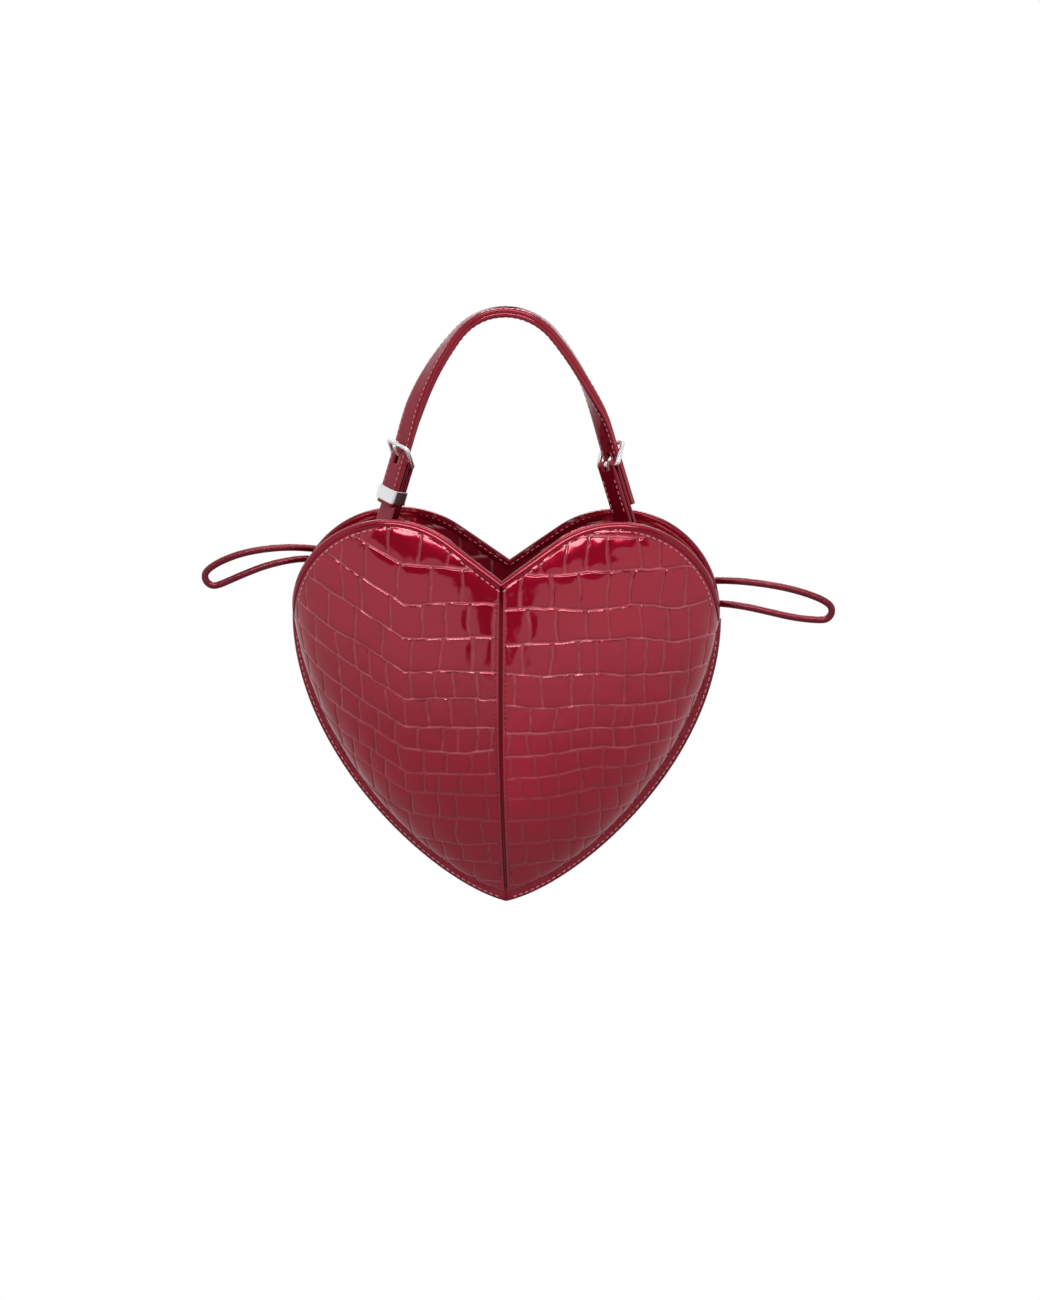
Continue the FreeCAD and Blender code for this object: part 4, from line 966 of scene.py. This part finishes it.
def rounded_path(half_wide, low, high, radius):
    """Closed flat path of a rectangle with round corners."""
    corners = ((half_wide, low, -90), (half_wide, high, 0), (-half_wide, high, 90), (-half_wide, low, 180))
    points = []
    for x, y, start in corners:
        cx, cy = x - math.copysign(radius, x), (y + radius if y == low else y - radius)
        for a in np.radians(np.linspace(start, start + 90, num=9)):
            points.append((cx + radius * math.cos(a), cy + radius * math.sin(a)))
    return np.array(points)


def closed_sweep(path, section):
    """A ring along a closed path in a plane; section is (outward, across the plane)."""
    plane = unit(np.cross(path[len(path) // 3] - path[0], path[2 * len(path) // 3] - path[0]))
    along = unit(np.roll(path, -1, axis=0) - np.roll(path, 1, axis=0))
    out = np.cross(along, plane)
    out *= np.sign(np.sum(out * (path - path.mean(0)), axis=1).mean())
    return sweep(path, out, plane[None], section[None], True)


def make_buckle(right, name):
    flat = rounded_path(half_wide=7.0, low=-0.2, high=11.0, radius=1.6)
    bar = rounded(width=2.0, height=1.9, power=3.2, count=20)
    points, faces = closed_sweep(xyz(flat[:, 0], 0, flat[:, 1]), bar)
    obj = make(f"buckle_{name}", leg(tilted(points, TILT), right), faces, METAL)
    dress(obj, "handle", "silver_metal", f"buckle_frame_{name}")


def make_prong(right, name):
    """Prong: a shank that tapers to a bent tip, and an eye round the pivot bar."""
    centres = xyz(0, PRONG_CURVE, PRONG_RISE)
    circles = rounded(2, 2, 2, PRONG_SIDES) * PRONG_RADIUS[:, None, None]
    shank, faces = sweep(centres, ACROSS, OUTWARD, circles)
    turn = np.linspace(0, 2 * math.pi, EYE_SIDES, endpoint=False)[:, None]
    x, radius = EYE_PROFILE[:, 0], EYE_PROFILE[:, 1]
    eye = xyz(x, radius * np.cos(turn), radius * np.sin(turn)).reshape(-1, 3)
    faces += (grid_faces(EYE_SIDES, len(EYE_PROFILE), True, True) + len(shank)).tolist()
    obj = make(f"prong_{name}_pin", leg(tilted(np.r_[shank, eye], PRONG), right), faces, METAL)
    dress(obj, f"prong_{name}", "silver_metal", f"prong_{name}")


def make_keeper():
    flat = rounded_path(half_wide=6.05, low=-2.75, high=5.75, radius=1.3)
    band = rounded(width=0.75, height=6.5, power=8, count=24)
    points, faces = closed_sweep(xyz(*flat.T, KEEPER_RISE), band)
    obj = make("keeper_band", leg(points), faces, METAL)
    dress(obj, "keeper", "silver_metal", "strap_keeper")


# Side loops and their anchors

LOOP_DIAMETER = 0.0034
LEFT_LOOP = (
    (-88.0, 17.8, 168.6), (-95.0, 14.8, 169.8), (-105.0, 11.9, 170.7), (-116.0, 10.1, 170.1),
    (-126.4, 9.1, 168.2), (-134.4, 8.7, 165.4), (-140.4, 8.4, 162.4), (-144.5, 8.2, 159.2),
    (-145.3, 8.2, 156.5), (-144.3, 8.2, 153.8), (-141.9, 8.2, 152.2), (-139.0, 8.2, 152.4),
    (-134.4, 8.5, 154.3), (-126.4, 8.9, 157.9), (-116.2, 10.0, 161.9), (-105.2, 12.0, 164.4),
    (-95.5, 15.0, 164.9), (-88.0, 18.4, 163.6),
)
RIGHT_LOOP = (
    (91.5, 17.6, 155.3), (98.5, 14.2, 156.4), (108.5, 11.2, 156.9), (119.8, 9.6, 156.2),
    (131.0, 8.8, 154.6), (140.8, 8.5, 152.2), (148.6, 8.4, 149.4), (153.4, 8.3, 146.6),
    (154.6, 8.2, 143.9), (153.9, 8.2, 141.1), (151.7, 8.2, 139.2), (148.7, 8.2, 139.0),
    (143.7, 8.3, 139.2), (135.0, 8.6, 140.2), (124.4, 9.4, 142.5), (113.0, 10.6, 144.7),
    (101.4, 13.4, 145.6), (91.5, 17.6, 144.9),
)
ANCHOR_INNER, ANCHOR_OUTER, ANCHOR_MARGIN, ANCHOR_GRID = 8.5, 1.7, 3.4, (24, 30)
PAD_GAP, PAD_HIGH, PAD_POWERS, PAD_ROUND = 0.3, 4.0, (6, 8), 0.3


def make_loop(name, route):
    """Rolled leather cord along its route."""
    curve = bpy.data.curves.new(f"side_loop_{name}_cord", "CURVE")
    curve.dimensions = "3D"
    curve.bevel_depth = LOOP_DIAMETER / 2
    curve.bevel_resolution = 5
    curve.use_fill_caps = True
    spline = curve.splines.new("NURBS")
    spline.points.add(len(route) - 1)
    for point, place in zip(spline.points, to_row(route)):
        point.co = (*place, 1)
    spline.order_u = 3
    spline.use_endpoint_u = True
    spline.resolution_u = 8
    curve.materials.append(LOOP)
    obj = bpy.data.objects.new(curve.name, curve)
    bpy.context.scene.collection.objects.link(obj)
    dress(obj, "bag", "smooth_leather", f"side_loop_{name}")


def make_anchor(side, name, route):
    """Domed pad on the back over both ends of a loop."""
    ends = (route[0][2], route[-1][2])
    x0, x1 = abs(route[0][0]) - ANCHOR_INNER, abs(route[0][0]) - ANCHOR_OUTER
    z0, z1 = min(ends) - ANCHOR_MARGIN, max(ends) + ANCHOR_MARGIN
    u, v = np.meshgrid(*(np.linspace(-1, 1, count) for count in ANCHOR_GRID), indexing="ij")
    x, z = (x0 + x1) / 2 + u * (x1 - x0) / 2, (z0 + z1) / 2 + v * (z1 - z0) / 2
    place, normal = on_dome(side, 1, x.ravel(), z.ravel())
    dome_share = (1 - np.abs(u) ** PAD_POWERS[0]) * (1 - np.abs(v) ** PAD_POWERS[1])
    high = PAD_GAP + PAD_HIGH * dome_share.ravel() ** PAD_ROUND
    points = np.r_[place + normal * high[:, None], place + normal * PAD_GAP]
    faces = np.r_[grid_faces(*ANCHOR_GRID, flip=side < 0), grid_faces(*ANCHOR_GRID, flip=side > 0) + u.size]
    pad = make(f"loop_anchor_{name}_pad", points, faces, SMOOTH, edge=[0])
    dress(pad, "bag", "smooth_leather", f"loop_anchor_{name}")


# The whole purse

for face in FACES:
    make_face(*face)
make_welt()
for side in SIDES:
    make_gusset(*side)
make_strap()
for leg_side in ((False, "left"), (True, "right")):
    make_tab(*leg_side)
    make_buckle(*leg_side)
    make_prong(*leg_side)
make_keeper()
for (side, name), route in zip(SIDES, (LEFT_LOOP, RIGHT_LOOP)):
    make_loop(name, route)
    make_anchor(side, name, route)
for name, mat in (("snap_socket", METAL), ("snap_stud", METAL), ("snap_magnet", DARK)):
    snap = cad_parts[name].data.materials
    snap.clear()
    snap.append(mat)


# Camera and lamp

scene = bpy.context.scene
AZIMUTH, ELEVATION, DISTANCE = math.radians(3.5), math.radians(12), 1.461
TARGET = Vector((0.0067, 0, (124.3 - GRIP) / MM_PER_M))
LAMP_PLACE, LAMP_AIM = Vector((0, -0.25, 0.95)), Vector((0, 0, -0.1))


def turn_to(obj, direction):
    obj.rotation_euler = direction.to_track_quat("-Z", "Y").to_euler()


camera = bpy.data.objects.new("camera", bpy.data.cameras.new("camera"))
scene.collection.objects.link(camera)
camera.data.sensor_fit = "VERTICAL"
camera.data.sensor_height = 36
camera.data.lens = 85
level = math.cos(ELEVATION)
away = Vector((math.sin(AZIMUTH) * level, -math.cos(AZIMUTH) * level, math.sin(ELEVATION)))
camera.location = TARGET + away * DISTANCE
turn_to(camera, -away)
scene.camera = camera

lamp = bpy.data.objects.new("top_strip", bpy.data.lights.new("top_strip", "AREA"))
scene.collection.objects.link(lamp)
lamp.data.shape = "RECTANGLE"
lamp.data.size, lamp.data.size_y = 0.9, 0.35
lamp.data.energy = 4
lamp.location = LAMP_PLACE
turn_to(lamp, LAMP_AIM - LAMP_PLACE)


# World: soft plain light, a studio with dark and bright panels in reflections, white for the camera

PLAIN_LEVELS = ((-1, 0.62), (0.2, 0.85), (1, 1.6))
STUDIO_LEVELS = ((-1, 0.30), (-0.6, 0.44), (0.0, 0.80), (1, 0.80))
DARKNESS, STRIP_LEVEL, LEAST_DEPTH = 0.96, 12.0, 0.001

world = bpy.data.worlds.new("studio")
scene.world = world
world.use_nodes = True
nodes, links = world.node_tree.nodes, world.node_tree.links
rays = nodes.new("ShaderNodeLightPath").outputs
split = nodes.new("ShaderNodeSeparateXYZ")
links.new(nodes.new("ShaderNodeTexCoord").outputs["Generated"], split.inputs[0])


def maths(kind, first, second):
    """One arithmetic step on two sockets or numbers."""
    step = nodes.new("ShaderNodeMath")
    step.operation = kind
    for slot, value in zip(step.inputs, (first, second)):
        if isinstance(value, (int, float)):
            slot.default_value = value
        else:
            links.new(value, slot)
    return step.outputs[0]


def by_height(levels):
    """Grey levels of the surroundings from below (-1) to above (1)."""
    share = nodes.new("ShaderNodeMapRange")
    set_inputs(share, {"From Min": -1, "From Max": 1})
    links.new(split.outputs["Z"], share.inputs["Value"])
    colors = nodes.new("ShaderNodeValToRGB")
    links.new(share.outputs["Result"], colors.inputs["Fac"])
    stops = colors.color_ramp.elements
    while len(stops) < len(levels):
        stops.new(0.5)
    for stop, (height, level) in zip(stops, levels):
        stop.position, stop.color = (height + 1) / 2, (level, level, level, 1)
    return colors.outputs["Color"]


def between(value, low, high, soft):
    """1 between two limits, with soft borders."""
    parts = []
    for limit, start, end in ((low, 0, 1), (high, 1, 0)):
        part = nodes.new("ShaderNodeMapRange")
        part.interpolation_type = "SMOOTHSTEP"
        set_inputs(part, {"From Min": limit - soft, "From Max": limit + soft,
                          "To Min": start, "To Max": end})
        links.new(value, part.inputs["Value"])
        parts.append(part.outputs["Result"])
    return maths("MULTIPLY", *parts)


def studio_panel(sideways, height):
    """A rectangle of the surroundings, each limit pair with its softness."""
    depth = maths("MAXIMUM", maths("ABSOLUTE", split.outputs["Y"], 0), LEAST_DEPTH)
    across = maths("DIVIDE", split.outputs["X"], depth)
    return maths("MULTIPLY", between(across, *sideways), between(split.outputs["Z"], *height))


def studio():
    """What the lacquer and the metal reflect."""
    dark_top = studio_panel(sideways=(-0.58, 0.50, 0.05), height=(0.29, 0.80, 0.02))
    dark_gap = studio_panel(sideways=(-0.12, -0.01, 0.02), height=(-0.055, 0.34, 0.03))
    strip = studio_panel(sideways=(-0.45, 0.36, 0.03), height=(0.50, 0.62, 0.02))
    dark = maths("MULTIPLY", maths("MAXIMUM", dark_top, dark_gap), DARKNESS)
    share = maths("ADD", maths("SUBTRACT", 1.0, dark), maths("MULTIPLY", strip, STRIP_LEVEL))
    scaled = nodes.new("ShaderNodeVectorMath")
    scaled.operation = "SCALE"
    links.new(by_height(STUDIO_LEVELS), scaled.inputs[0])
    links.new(share, scaled.inputs["Scale"])
    return scaled.outputs[0]


mirrored = maths("MAXIMUM", rays["Is Glossy Ray"], rays["Is Transmission Ray"])
light = color_mix(world.node_tree, mirrored, by_height(PLAIN_LEVELS), studio())
seen = color_mix(world.node_tree, rays["Is Camera Ray"], light, (1, 1, 1, 1))
links.new(seen, nodes["Background"].inputs["Color"])
nodes["Background"].inputs["Strength"].default_value = 1.0

scene.render.engine = "CYCLES"
scene.cycles.samples = 160
scene.cycles.use_denoising = True
scene.render.resolution_x = 1040
scene.render.resolution_y = 1300
scene.view_settings.view_transform = "Standard"
